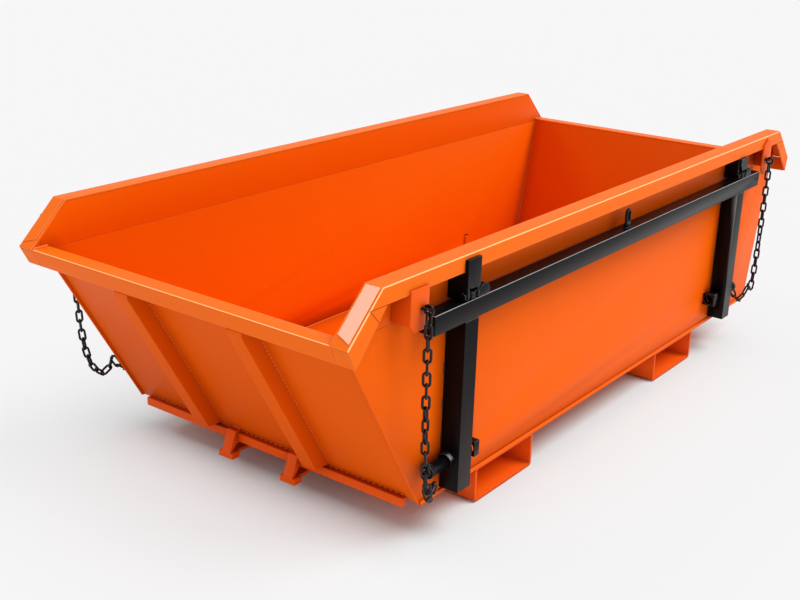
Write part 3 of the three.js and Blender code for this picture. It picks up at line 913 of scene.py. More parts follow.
@dataclass
class CadDressing:
    """Rounds the edges of the carried-over solids and gives them their finish."""

    frame: dict
    finishes: Finishes
    sheet_edge: float = 0.0012
    seam_edge: float = 0.0002
    section_edge: float = 0.0018
    small_edge: float = 0.0009
    merge_reach: float = 0.00001
    flat_angle: float = math.radians(1.5)
    seamed: tuple[str, ...] = ("flap_plate", "header_plate", "end_wall")
    sections: tuple[str, ...] = (
        "flap_post",
        "cross_bar",
        "fork_pocket",
        "rib",
        "bottom_rail",
        "tipping_hook",
    )
    small: tuple[str, ...] = (
        "hinge_pin",
        "chain_eye",
        "locking_bolt",
        "lifting_lug",
        "hinge_ear",
        "bolt_keeper",
    )
    # Solids that get the frame black with the painted highlight on their upper edges.
    highlight_edged: tuple[str, ...] = ("cross_bar", "flap_post", "hinge_hanger")

    def _edge_of(self, node: str) -> float:
        """Picks the width of a solid's bevel.

        Args:
            node: The solid's name.

        Returns:
            The width.
        """
        for names, width in (
            (self.seamed, self.seam_edge),
            (self.sections, self.section_edge),
            (self.small, self.small_edge),
        ):
            if node.startswith(names):
                return width
        return self.sheet_edge

    def _finish_of(self, node: str, slot: str) -> bpy.types.Material:
        """Picks a solid's finish.

        Args:
            node: The solid's name.
            slot: The record's slot for it.

        Returns:
            The material.
        """
        if node.startswith("bolt_keeper"):
            return self.finishes.keeper
        # Box sections get the frame black with a painted highlight on their upper edges.
        if node.startswith(self.highlight_edged):
            return self.finishes.section
        return self.finishes.by_slot[slot]

    def dress(self) -> None:
        """Gives each solid its modifiers and its material."""
        slots = {entry["node"]: entry["material_slot"] for entry in self.frame["record"]["subparts"]}
        for node, solid in self.frame["nodes"].items():
            material = self._finish_of(node, slots[node])
            for place in solid.material_slots:
                place.material = material
            if not solid.material_slots:
                solid.data.materials.append(material)
            weld = solid.modifiers.new("weld", "WELD")
            weld.merge_threshold = self.merge_reach
            plane = solid.modifiers.new("plane", "DECIMATE")
            plane.decimate_type = "DISSOLVE"
            plane.angle_limit = self.flat_angle
            soften(solid, self._edge_of(node))
            for face in solid.data.polygons:
                face.use_smooth = True
            LOG.info("solid %s dressed", node)


@dataclass
class Rims:
    """The four rims, folded from sheet, with leaning end fascias and a top plate on each slope."""

    shell: Shell
    finishes: Finishes
    end_drop: float = 0.047
    left_inset: float = 0.025
    right_inset: float = 0.010
    fold: float = 0.0035
    # Which faces of the rounded fold get the painted highlight.
    highlight_rise: float = 0.2
    highlight_lean: tuple[float, float] = (0.3, 0.92)
    highlight_skew: float = 1.4
    joint: float = 0.0005
    edge: float = 0.0009
    plate_rise: float = 0.0016
    plate_lift: float = 0.05
    plate_side: float = 0.0055
    plate_foot_inner: float = 0.19
    plate_foot_outer: float = 0.09
    plate_head: float = 0.985
    corner_fill: tuple[tuple[float, float], ...] = ((1.140, 0.5692), (1.098, 0.5692), (1.098, 0.605))
    fill_y: float = 0.4536
    fill_depth: float = 0.0024
    line_width: float = 0.0012
    line_rise: float = 0.00025
    line_overrun: float = 1.1
    bead: Bead = Bead(radius=0.0026, scale_length=0.005)
    bead_inset: float = 0.0012
    bead_rise: float = 0.001
    bead_start: float = 0.006
    bead_stop: float = 0.004

    @property
    def slope_turn(self) -> float:
        """The angle between the level and the sloped part."""
        return math.atan2(self.shell.top - self.shell.end_top, self.shell.end_x - self.shell.flat_x)

    def _stations(self, depth: float) -> list[tuple[float, float]]:
        """Where a line at a depth under the rim's top passes its ends and bends.

        Args:
            depth: Distance under the top, square to it.

        Returns:
            X and Z at the left end, both bends and the right end.
        """
        shell = self.shell
        share = depth / shell.fascia
        foot = shell.end_top - self.end_drop * share
        bend = shell.flat_x - depth * math.tan(self.slope_turn / 2)
        high = shell.top - depth
        left = -shell.end_x + self.left_inset * share
        right = shell.end_x - self.right_inset * share
        return [(left, foot), (-bend, high), (bend, high), (right, foot)]

    def inset(self, end: End) -> float:
        """How far an end rim's fascia leans in."""
        return self.left_inset if end is End.LEFT else self.right_inset

    def build(self) -> None:
        """Builds each rim, its top plates and its joint lines."""
        for side in Side:
            self._long_rim(side)
        for end in End:
            self._end_rim(end)
            for side in Side:
                self._slope_plate(side, end)
        self._lines()
        self._corner_joints()

    def _finish_rim(self, made: bpy.types.Object, axis: int) -> None:
        """Softens a rim's edges and paints a highlight on the upward middle of its rounded fold with a
        pale finish of its own.

        Args:
            made: The rim.
            axis: Which way the fold turns over: 0 for X, 1 for Y.
        """
        # The pale painted highlight on the fold.
        made.data.materials.append(self.finishes.fold)
        least, most = self.highlight_lean
        for face in made.data.polygons:
            lean = abs(face.normal[axis])
            straight = abs(face.normal[1 - axis]) < lean * self.highlight_skew
            if face.normal.z > self.highlight_rise and least < lean < most and straight:
                face.material_index = 1
        soften(made, self.edge)

    def _long_rim(self, side: Side) -> None:
        """Sweeps a long rim along its level and sloped parts, and closes its ends.

        Args:
            side: The rim's side.
        """
        shell = self.shell
        inner = Vector((shell.inner_y, 0.0))
        foot = Vector((shell.outer_y, shell.fascia))
        outline = [
            inner,
            *fillet(inner, Vector((shell.outer_y, 0.0)), foot, self.fold),
            foot,
            Vector((shell.outer_y - shell.sheet, shell.fascia)),
            Vector((shell.outer_y - shell.sheet, shell.sheet)),
            Vector((shell.inner_y, shell.sheet)),
        ]
        paths = [self._stations(depth) for _, depth in outline]
        rings = [
            [Vector((x, side.sign * across, z)) for (across, _), (x, z) in zip(outline, station)]
            for station in zip(*paths)
        ]
        made = bmesh.new()
        ring_sweep(made, rings, closed=False)
        for end in End:
            self._end_plate(made, side, end)
        rim = piece(f"rim_{side.word}", made, self.finishes.by_slot["rim_paint"], BODY)
        self._finish_rim(rim, 1)
        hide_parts(f"long_rim_{side.word}")

    def _end_plate(self, mesh: bmesh.types.BMesh, side: Side, end: End) -> None:
        """Closes one end of a long rim with a plate under its top.

        Args:
            mesh: The rim's bmesh.
            side: The rim's side.
            end: Which of its ends.
        """
        shell = self.shell
        gap = self.joint / 2
        outer = shell.outer_y - shell.sheet - gap
        place = 0 if end is End.LEFT else -1
        inward = Vector((-end.sign * shell.sheet, 0, 0))
        ends = [self._stations(depth)[place] for depth in (shell.sheet + gap, shell.fascia)]
        head, foot = [Vector((x, side.sign * outer, z)) for x, z in ends]
        outline = [head, foot, foot + inward, head + inward]
        prism(mesh, outline, Vector((0, -side.sign * (outer - shell.inner_y), 0)))

    def _end_rim(self, end: End) -> None:
        """Folds an end rim between the long ones, its fascia leaning in with the end wall.

        Args:
            end: The rim's end.
        """
        shell = self.shell
        outer = Vector((end.sign * shell.end_x, shell.end_top))
        drop = Vector((-end.sign * self.inset(end), -self.end_drop))
        foot = outer + drop
        inner = Vector((shell.wall_inside(end, shell.end_top - shell.sheet), shell.end_top))
        run = Vector((-end.sign * shell.sheet, 0.0))
        outline = [
            inner,
            *fillet(inner, outer, foot, self.fold),
            foot,
            foot + run,
            outer + drop * shell.sheet / self.end_drop + run,
            Vector((inner.x, inner.y - shell.sheet)),
        ]
        made = bmesh.new()
        reach = shell.inner_y - self.joint
        prism(made, [Vector((x, -reach, z)) for x, z in outline], Vector((0, 2 * reach, 0)))
        rim = piece(f"rim_{end.word}", made, self.finishes.by_slot["rim_paint"], BODY)
        self._finish_rim(rim, 0)
        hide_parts(f"end_rim_{end.word}")

    def _slope_point(self, side: Side, end: End, share: float, across: float) -> Vector:
        """Places a point on a slope's top.

        Args:
            side: The slope's side.
            end: The slope's end.
            share: How far up the slope, from zero to one.
            across: Its distance from the skip's middle.

        Returns:
            The point.
        """
        low = Vector((end.sign * self.shell.end_x, side.sign * across, self.shell.end_top))
        high = Vector((end.sign * self.shell.flat_x, side.sign * across, self.shell.top))
        return low.lerp(high, share)

    def _slope_plate(self, side: Side, end: End) -> None:
        """Lays a thin cover plate on a slope, cut askew at its foot; near plates get a paler paint
        with a painted highlight.

        Args:
            side: The slope's side.
            end: The slope's end.
        """
        outer = self.shell.outer_y - self.plate_side
        inner = self.shell.inner_y + self.plate_side
        outline = [
            self._slope_point(side, end, self.plate_foot_outer, outer),
            self._slope_point(side, end, self.plate_head, outer),
            self._slope_point(side, end, self.plate_head, inner),
            self._slope_point(side, end, self.plate_foot_inner, inner),
        ]
        upward = Vector((end.sign * math.sin(self.slope_turn), 0, math.cos(self.slope_turn)))
        rise = upward * self.plate_rise
        made = bmesh.new()
        prism(made, [point + rise * self.plate_lift for point in outline], rise)
        # Only the near plates get the paler paint with the painted highlight.
        finish = self.finishes.slope if side is Side.NEAR else self.finishes.far_slope
        plate = piece(f"slope_plate_{side.word}_{end.word}", made, finish, BODY)
        soften(plate, self.edge / 2)

    def _lines(self) -> None:
        """Draws fine joint lines where the slope's fascia meets the level one."""
        shell = self.shell
        made = bmesh.new()
        slope = Vector((shell.end_x - shell.flat_x, 0, shell.end_top - shell.top))
        share = shell.fascia / (shell.top - shell.end_top)
        foot = shell.top - shell.fascia
        bend = self._stations(shell.fascia)[2][0]
        for side in Side:
            y = side.sign * (shell.outer_y + self.line_rise)
            for end in End:
                start = Vector((end.sign * (shell.flat_x + slope.x * share), y, foot))
                square = Vector((end.sign * slope.z, 0, -slope.x)).normalized() * shell.fascia
                for goal in (Vector((end.sign * bend, y, foot)), start + square * self.line_overrun):
                    self._line(made, start, goal, side)
        piece("fascia_joints", made, self.finishes.seam, BODY, smooth=False)

    def _line(self, mesh: bmesh.types.BMesh, start: Vector, goal: Vector, side: Side) -> None:
        """Adds one fine raised line on a fascia.

        Args:
            mesh: The bmesh to add to.
            start, goal: The line's ends.
            side: The fascia's side.
        """
        along = (goal - start).normalized()
        across = along.cross(Vector((0, side.sign, 0))).normalized() * self.line_width / 2
        outline = [start - across, goal - across, goal + across, start + across]
        prism(mesh, outline, Vector((0, -side.sign * self.line_rise * 2, 0)))

    def _corner_joints(self) -> None:
        """Fills the inner corners of the rims and runs a weld along each."""
        shell = self.shell
        made = bmesh.new()
        z = shell.end_top + self.bead_rise
        for side in Side:
            y = side.sign * (shell.inner_y - self.bead_inset)
            for end in End:
                y_fill = side.sign * self.fill_y
                filled = [Vector((end.sign * x, y_fill, height)) for x, height in self.corner_fill]
                prism(made, filled, Vector((0, side.sign * self.fill_depth, 0)))
                outer = end.sign * (shell.end_x - self.bead_start)
                inner = end.sign * (abs(shell.wall_inside(end, shell.end_top)) - self.bead_stop)
                self.bead.lay(made, Vector((outer, y, z)), Vector((inner, y, z)))
        piece("rim_corner_welds", made, self.finishes.weld, BODY)


@dataclass
class Ribs:
    """The end walls' ribs, cut upright at the top to stay under the leaning fascias."""

    shell: Shell
    rims: Rims
    finishes: Finishes
    middle: float = 0.175
    half: float = 0.0225
    foot: float = 0.112
    depth_left: float = 0.0461
    depth_right: float = 0.0405
    gap: float = 0.0005
    edge: float = 0.0018

    def _outline(self, end: End) -> list[tuple[float, float]]:
        """Draws a rib from the side.

        Args:
            end: The rib's end.

        Returns:
            Distance from the skip's middle and height of each corner.
        """
        top = self.shell.end_top - self.rims.end_drop - self.gap
        depth = self.depth_left if end is End.LEFT else self.depth_right
        limit = self.shell.end_x - self.rims.inset(end)
        slope = self.shell.lean(end) / self.shell.wall_height
        wall_foot = abs(self.shell.wall_outside(end, self.foot)) + self.gap
        cut = self.foot + (limit - wall_foot - depth) / slope
        return [
            (wall_foot, self.foot),
            (wall_foot + depth, self.foot),
            (limit, min(cut, top)),
            (limit, top),
            (wall_foot + slope * (top - self.foot), top),
        ]

    def build(self) -> None:
        """Builds the four ribs."""
        paint = self.finishes.by_slot["shell_paint"]
        for end in End:
            outline = self._outline(end)
            for side in Side:
                made = bmesh.new()
                start = side.sign * self.middle - self.half
                points = [Vector((end.sign * x, start, z)) for x, z in outline]
                prism(made, points, Vector((0, 2 * self.half, 0)))
                rib = piece(f"rib_{end.word}_{side.word}_cut", made, paint, BODY)
                soften(rib, self.edge)
                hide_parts(f"rib_{end.word}_{side.word}")


@dataclass
class ShellWelds:
    """Weld runs of the body: inner corners, floor, ribs, rail and hooks."""

    shell: Shell
    finishes: Finishes
    corner_y: float = 0.4508
    corner_gap: float = 0.002
    corner_stitch: tuple[float, float] = (0.009, 0.012)
    floor_drop: float = 0.001
    rib_y: float = 0.175
    rib_half: float = 0.0225
    rib_foot: float = 0.114
    rib_top: float = 0.516
    rib_gap: float = 0.0006
    rib_stitch: tuple[float, float] = (0.010, 0.012)
    rail_top: float = 0.103
    rail_half: float = 0.418
    rail_gap: float = 0.0008
    rail_stitch: tuple[float, float] = (0.010, 0.016)
    hook_y: float = 0.102
    hook_half: float = 0.014
    hook_tab: float = 0.1114
    hook_gap: float = 0.001
    toe_x: float = -0.8742
    toe_z: float = 0.0596
    bead: Bead = Bead(radius=0.0024, scale_length=0.005)
    fine: Bead = Bead()

    def build(self) -> None:
        """Builds the runs as pieces on the skip's body."""
        self._corners()
        self._ribs()
        self._rail()

    def _corners(self) -> None:
        """Stitched runs up the inner corners and whole ones along the floor."""
        shell = self.shell
        made = bmesh.new()
        low_z = shell.floor_top + self.corner_gap
        high_z = shell.end_top - shell.sheet - self.corner_gap
        for end in End:
            for side in Side:
                y = side.sign * self.corner_y
                low = Vector((shell.wall_inside(end, low_z), y, low_z))
                high = Vector((shell.wall_inside(end, high_z), y, high_z))
                self.fine.stitch(made, low, high, *self.corner_stitch)
            x = shell.wall_inside(end, low_z)
            self.bead.lay(made, Vector((x, -self.corner_y, low_z)), Vector((x, self.corner_y, low_z)))
        for side in Side:
            y = side.sign * self.corner_y
            foot = low_z - self.floor_drop
            left, right = [Vector((shell.wall_inside(end, low_z), y, foot)) for end in End]
            self.fine.lay(made, left, right)
        piece("corner_welds", made, self.finishes.weld, BODY)

    def _ribs(self) -> None:
        """Stitched runs down both sides of each rib."""
        shell = self.shell
        made = bmesh.new()
        for side in Side:
            for end in End:
                for edge in (-1, 1):
                    y = side.sign * self.rib_y + edge * (self.rib_half + self.rib_gap)
                    foot = Vector((shell.wall_outside(end, self.rib_foot), y, self.rib_foot))
                    top = Vector((shell.wall_outside(end, self.rib_top), y, self.rib_top))
                    self.fine.stitch(made, foot, top, *self.rib_stitch)
        piece("rib_welds", made, self.finishes.weld, BODY)

    def _rail(self) -> None:
        """A stitched run over the rail and short ones at the hooks."""
        shell = self.shell
        made = bmesh.new()
        x = shell.wall_outside(End.LEFT, self.rail_top) - self.rail_gap
        z = self.rail_top + self.rail_gap
        start = Vector((x, -self.rail_half, z))
        self.fine.stitch(made, start, Vector((x, self.rail_half, z)), *self.rail_stitch)
        tab_x = shell.wall_outside(End.LEFT, self.hook_tab) - self.hook_gap
        for side in Side:
            near = side.sign * self.hook_y - self.hook_half
            far = side.sign * self.hook_y + self.hook_half
            for x, z in ((tab_x, self.hook_tab), (self.toe_x, self.toe_z)):
                self.bead.lay(made, Vector((x, near, z)), Vector((x, far, z)))
        piece("rail_welds", made, self.finishes.weld, BODY)


@dataclass
class FlapDetails:
    """Hem, frame welds and lifting lug of one side flap, and the clips of its hinge pins."""

    side: Side
    shell: Shell
    finishes: Finishes
    hem_height: float = 0.010
    hem_depth: float = 0.0035
    hem_fold: float = 0.003
    hem_gap: float = 0.0001
    hem_edge: float = 0.0005
    hem_foot: float = 0.0948
    hem_left: float = -0.8385
    hem_right: float = 1.0195
    post_x: float = 0.741
    post_half: float = 0.025
    post_foot: float = 0.111
    post_stitch: tuple[float, float] = (0.028, 0.085)
    post_end_gap: float = 0.004
    weld_gap: float = 0.0008
    weld_out: float = 0.0012
    bar_foot: float = 0.520
    bar_top: float = 0.565
    lug_depth: float = 0.492
    lug_half: float = 0.013
    lug_sheet: float = 0.004
    lug_top: float = 0.616
    lug_bend: float = 0.009
    lug_loop_share: float = 0.42
    lug_gap: float = 0.0004
    lug_weld_rise: float = 0.001
    pin_z: float = 0.576
    clip_front: float = 0.5080
    clip_wire: float = 0.0013
    clip_half: float = 0.0085
    clip_drop: float = 0.0092
    clip_cross: float = 0.55
    clip_waist_rise: float = 0.001
    clip_steps: int = 4
    clip_sides: int = 8
    clip_ring: float = 0.0058
    clip_ring_steps: int = 24
    bead: Bead = Bead(radius=0.0018, scale_length=0.004)

    @property
    def body(self) -> str:
        """The flap's body."""
        return f"flap_{self.side.word}"

    def build(self) -> None:
        """Builds the flap's own small pieces and its pin clips."""
        self._hem()
        self._welds()
        self._lug()
        for end in End:
            self._clip(end)

    def _hem(self) -> None:
        """A folded hem along the flap's lower edge."""
        made = bmesh.new()
        sign = self.side.sign
        skin = self.shell.skin_y + self.hem_gap
        foot = Vector((self.hem_depth, 0))
        nose = Vector((self.hem_depth, self.hem_height))
        top = Vector((0, self.hem_height))
        outline = [Vector((0, 0)), foot, *fillet(foot, nose, top, self.hem_fold), top]
        start = [
            Vector((self.hem_left, sign * (skin + out), self.hem_foot + rise)) for out, rise in outline
        ]
        prism(made, start, Vector((self.hem_right - self.hem_left, 0, 0)))
        paint = self.finishes.by_slot["side_paint"]
        hem = piece(f"flap_hem_{self.side.word}", made, paint, self.body)
        soften(hem, self.hem_edge)

    def _welds(self) -> None:
        """Runs where the posts meet the flap plate and round the lug's foot."""
        made = bmesh.new()
        sign = self.side.sign
        y = sign * (self.shell.skin_y + self.weld_out)
        for end in End:
            for edge in (-1, 1):
                x = end.sign * self.post_x + edge * (self.post_half + self.weld_gap)
                low = Vector((x, y, self.post_foot + self.post_end_gap))
                high = Vector((x, y, self.bar_foot - self.post_end_gap))
                self.bead.stitch(made, low, high, *self.post_stitch)
        reach = self.lug_half + self.weld_gap
        half = self.lug_sheet + self.weld_gap
        middle = Vector((0, sign * self.lug_depth, self.bar_top + self.lug_weld_rise))
        loop = [
            middle + Vector((x, out, 0))
            for x, out in ((-reach, -half), (reach, -half), (reach, half), (-reach, half))
        ]
        for start, goal in zip(loop, [*loop[1:], loop[0]]):
            self.bead.lay(made, start, goal)
        name = f"frame_welds_{self.side.word}"
        piece(name, made, self.finishes.weld_black, self.body)

    def _lug(self) -> None:
        """The lifting lug: a short stem with a round-wire loop on top."""
        made = bmesh.new()
        y = self.side.sign * self.lug_depth
        wire = 2 * self.lug_sheet
        crown = self.lug_top - self.lug_bend - wire / 2
        straight = (crown - self.bar_top) * self.lug_loop_share / 2
        middle = Vector((0, y, crown - straight))
        loop = RoundLink(wire, self.lug_bend, straight)
        loop.add(made, middle, Vector((0, 0, 1)), Vector((1, 0, 0)))
        foot = self.bar_top + self.lug_gap
        top = middle.z - straight - self.lug_bend
        half = self.lug_bend + wire / 2
        stem = [
            Vector((x, y - self.lug_sheet, z))
            for x, z in ((-half, foot), (half, foot), (half, top), (-half, top))
        ]
        prism(made, stem, Vector((0, wire, 0)))
        black = self.finishes.by_slot["frame_black"]
        lug = piece(f"lug_loop_{self.side.word}", made, black, self.body)
        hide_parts(f"lifting_lug_{self.side.word}")

    def _clip(self, end: End) -> None:
        """Crosses a spring clip over a hinge pin's nut, with its ring.

        Args:
            end: The hinge's end of the flap.
        """
        made = bmesh.new()
        middle = Vector((end.sign * self.post_x, self.side.sign * self.clip_front, self.pin_z))
        for lean in (-1, 1):
            arm = Vector((lean * self.clip_half, 0, -self.clip_drop))
            out = self.side.sign * lean * self.clip_wire * self.clip_cross
            waist = middle + Vector((0, out, self.clip_waist_rise))
            shares = [step / self.clip_steps for step in range(self.clip_steps + 1)]
            path = [(middle - arm).lerp(waist, share) for share in shares[:-1]]
            path += [waist.lerp(middle + arm, share) for share in shares]
            tube_along(made, path, self.clip_wire, self.clip_sides)
        rings = []
        for step in range(self.clip_ring_steps):
            turn = 2 * math.pi * step / self.clip_ring_steps
            outward = Vector((math.cos(turn), 0, math.sin(turn)))
            centre = middle + outward * self.clip_ring
            rings.append(circle(centre, outward, Vector((0, 1, 0)), self.clip_wire, self.clip_sides))
        ring_sweep(made, rings, closed=True)
        name = f"pin_clip_{self.side.word}_{end.word}"
        piece(name, made, self.finishes.weld_black, BODY)


@dataclass
class SafetyChain:
    """One hanging chain of round-wire links, which stands for its plain solid.

    Its sizes are those of the near left chain, and flip turns them into the others.
    """

    side: Side
    end: End
    finishes: Finishes
    eye_x: float = 0.921
    far_left_eye_x: float = 0.981
    eye_y: float = 0.5208
    eye_z: float = 0.597
    eye_wire: float = 0.006
    seat_gap: float = 0.0004
    pitch: float = 0.026
    wire: float = 0.006
    width: float = 0.0205
    bite: float = 0.0005
    ring_radius: float = 0.0102
    ring_overlap: float = 0.3
    bolt_end: float = 0.842
    bolt_y: float = 0.476
    bolt_z: float = 0.184
    end_reach: float = 0.034
    strand_links: int = 4
    strand_sag: float = 0.044
    strand_tilt: float = 0.3
    far_strand_links: int = 3
    far_strand_sag: float = 0.018
    quarter: float = math.radians(90)
    facing: float = math.radians(37)
    settle_links: int = 3
    slip: float = math.radians(38)
    slip_place: float = 9.0
    slip_spread: float = 1.4
    line_step: float = 0.0002
    line_least: int = 8
    shares: tuple[tuple[float, float], ...] = (
        (0, 0.96),
        (0.02, 0.547),
        (0.08, 0.281),
        (0.17, 0.136),
        (0.33, 0.015),
        (0.55, -0.053),
        (0.72, -0.07),
        (0.88, -0.039),
        (1, 0.048),
    )

    @property
    def flip(self) -> Vector:
        """Signs that turn the near left chain into this one."""
        return Vector((-self.end.sign, -self.side.sign, 1))

    @property
    def word(self) -> str:
        """The chain's side and end."""
        return f"{self.side.word}_{self.end.word}"

    @property
    def link(self) -> RoundLink:
        """The chain's own link."""
        bend = (self.width - self.wire) / 2
        return RoundLink(self.wire, bend, (self.pitch + self.wire - 2 * self.bite) / 2 - bend)

    def build(self) -> None:
        """Builds the chain with the ring on its eye, and the strand on the bolt's end."""
        made = bmesh.new()
        joints = self._joints()
        ring_z = self.eye_z + self.eye_wire / 2 + self.seat_gap - self.ring_radius + self.wire / 2
        eye = Vector((joints[0].x, joints[0].y, ring_z))
        RoundLink(self.wire, self.ring_radius).add(made, eye, Vector((0, 0, 1)), Vector((0, 1, 0)))
        drop = Vector((0, 0, ring_z - self.ring_radius + self.wire / 2 - joints[0].z))
        for number, (here, there) in enumerate(zip(joints, joints[1:])):
            self._add_link(made, here + drop, there + drop, self._sideways(number))
        chain = self._piece(f"chain_links_{self.word}", made, f"chain_{self.word}")
        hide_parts(f"safety_chain_{self.word}")
        self._bolt_strand(joints[-1] + drop)

    def _add_link(
        self, mesh: bmesh.types.BMesh, here: Vector, there: Vector, sideways: Vector
    ) -> None:
        """Adds one link between two joints.

        Args:
            mesh: The bmesh to add to.
            here, there: The joints.
            sideways: Roughly the direction of the link's width.
        """
        along = (there - here).normalized()
        across = (sideways - along * sideways.dot(along)).normalized()
        self.link.add(mesh, (here + there) / 2, along, across)

    def _piece(self, name: str, mesh: bmesh.types.BMesh, body: str) -> bpy.types.Object:
        """Flips a mesh from the near left to its own corner and makes it a piece."""
        bmesh.ops.transform(mesh, matrix=Matrix.Diagonal((*self.flip, 1)), verts=mesh.verts)
        return piece(name, mesh, self.finishes.by_slot["chain_black"], body)

    def _sideways(self, number: int) -> Vector:
        """Turns each link's width a quarter on from the last, with a little slip part way down.

        Args:
            number: The link's number from the top.

        Returns:
            The direction, as it is before the flip.
        """
        settle = min(1.0, number / self.settle_links)
        slip = math.exp(-(((number - self.slip_place) / self.slip_spread) ** 2))
        turn = self.quarter * number + self.facing * settle + self.slip * slip
        return Vector((math.cos(turn) * self.flip.x, math.sin(turn) * self.flip.y, 0))

    def _bolt_strand(self, chain_end: Vector) -> None:
        """Hangs a ring on the bolt's end and a few links from it towards the chain.

        Args:
            chain_end: The chain's lower end, as it is before the flip.
        """
        made = bmesh.new()
        reach = self.bolt_end + self.ring_radius - self.wire * self.ring_overlap
        centre = Vector((-reach, -self.bolt_y, self.bolt_z))
        RoundLink(self.wire, self.ring_radius).add(made, centre, Vector((0, 0, 1)), Vector((1, 0, 0)))
        hook = centre - Vector((0, 0, self.ring_radius))
        near = self.side is Side.NEAR
        count = self.strand_links if near else self.far_strand_links
        sag = self.strand_sag if near else self.far_strand_sag
        joints = []
        for number in range(count + 1):
            share = number / count
            sink = Vector((0, 0, sag * math.sin(math.pi * share)))
            joints.append(hook.lerp(chain_end, share) - sink)
        for number, (here, there) in enumerate(zip(joints, joints[1:])):
            turn = self.quarter * number + self.facing
            sideways = Vector((math.cos(turn), math.sin(turn), self.strand_tilt))
            self._add_link(made, here, there, sideways)
        self._piece(f"bolt_ring_{self.word}", made, f"bolt_{self.word}")

    def _joints(self) -> list[Vector]:
        """Walks down the smooth hanging line one pitch at a time.

        Returns:
            The points where links meet, as they are before the flip.
        """
        far_left = self.side is Side.FAR and self.end is End.LEFT
        start_x = -(self.far_left_eye_x if far_left else self.eye_x)
        end_x = -self.bolt_end - self.end_reach
        rise = self.eye_z - self.bolt_z
        knots = []
        for inward, height in self.shares:
            x = start_x + (end_x - start_x) * inward
            knots.append(Vector((x, -self.eye_y, self.bolt_z + rise * height)))
        knots = [2 * knots[0] - knots[1], *knots, 2 * knots[-1] - knots[-2]]
        line = []
        for place in range(1, len(knots) - 2):
            line += self._smooth(*knots[place - 1 : place + 3])
        joints = [line[0]]
        for point in line:
            if (point - joints[-1]).length >= self.pitch:
                joints.append(point)
        return joints

    def _smooth(self, before: Vector, start: Vector, goal: Vector, after: Vector) -> list[Vector]:
        """Draws a smooth curve between two knots that heeds the knots around them.

        Args:
            before, start, goal, after: Four knots in a row.

        Returns:
            Close points from start to just before goal.
        """
        spans = ((start - before), (goal - start), (after - goal))
        first, middle, last = [span.length**0.5 for span in spans]
        leave = spans[0] / first - (goal - before) / (first + middle) + spans[1] / middle
        reach = spans[1] / middle - (after - start) / (middle + last) + spans[2] / last
        leave *= middle
        reach *= middle
        points = []
        steps = max(self.line_least, round(spans[1].length / self.line_step))
        for step in range(steps):
            t = step / steps
            points.append(
                start * (2 * t**3 - 3 * t**2 + 1)
                + leave * (t**3 - 2 * t**2 + t)
                + goal * (3 * t**2 - 2 * t**3)
                + reach * (t**3 - t**2)
            )
        return points


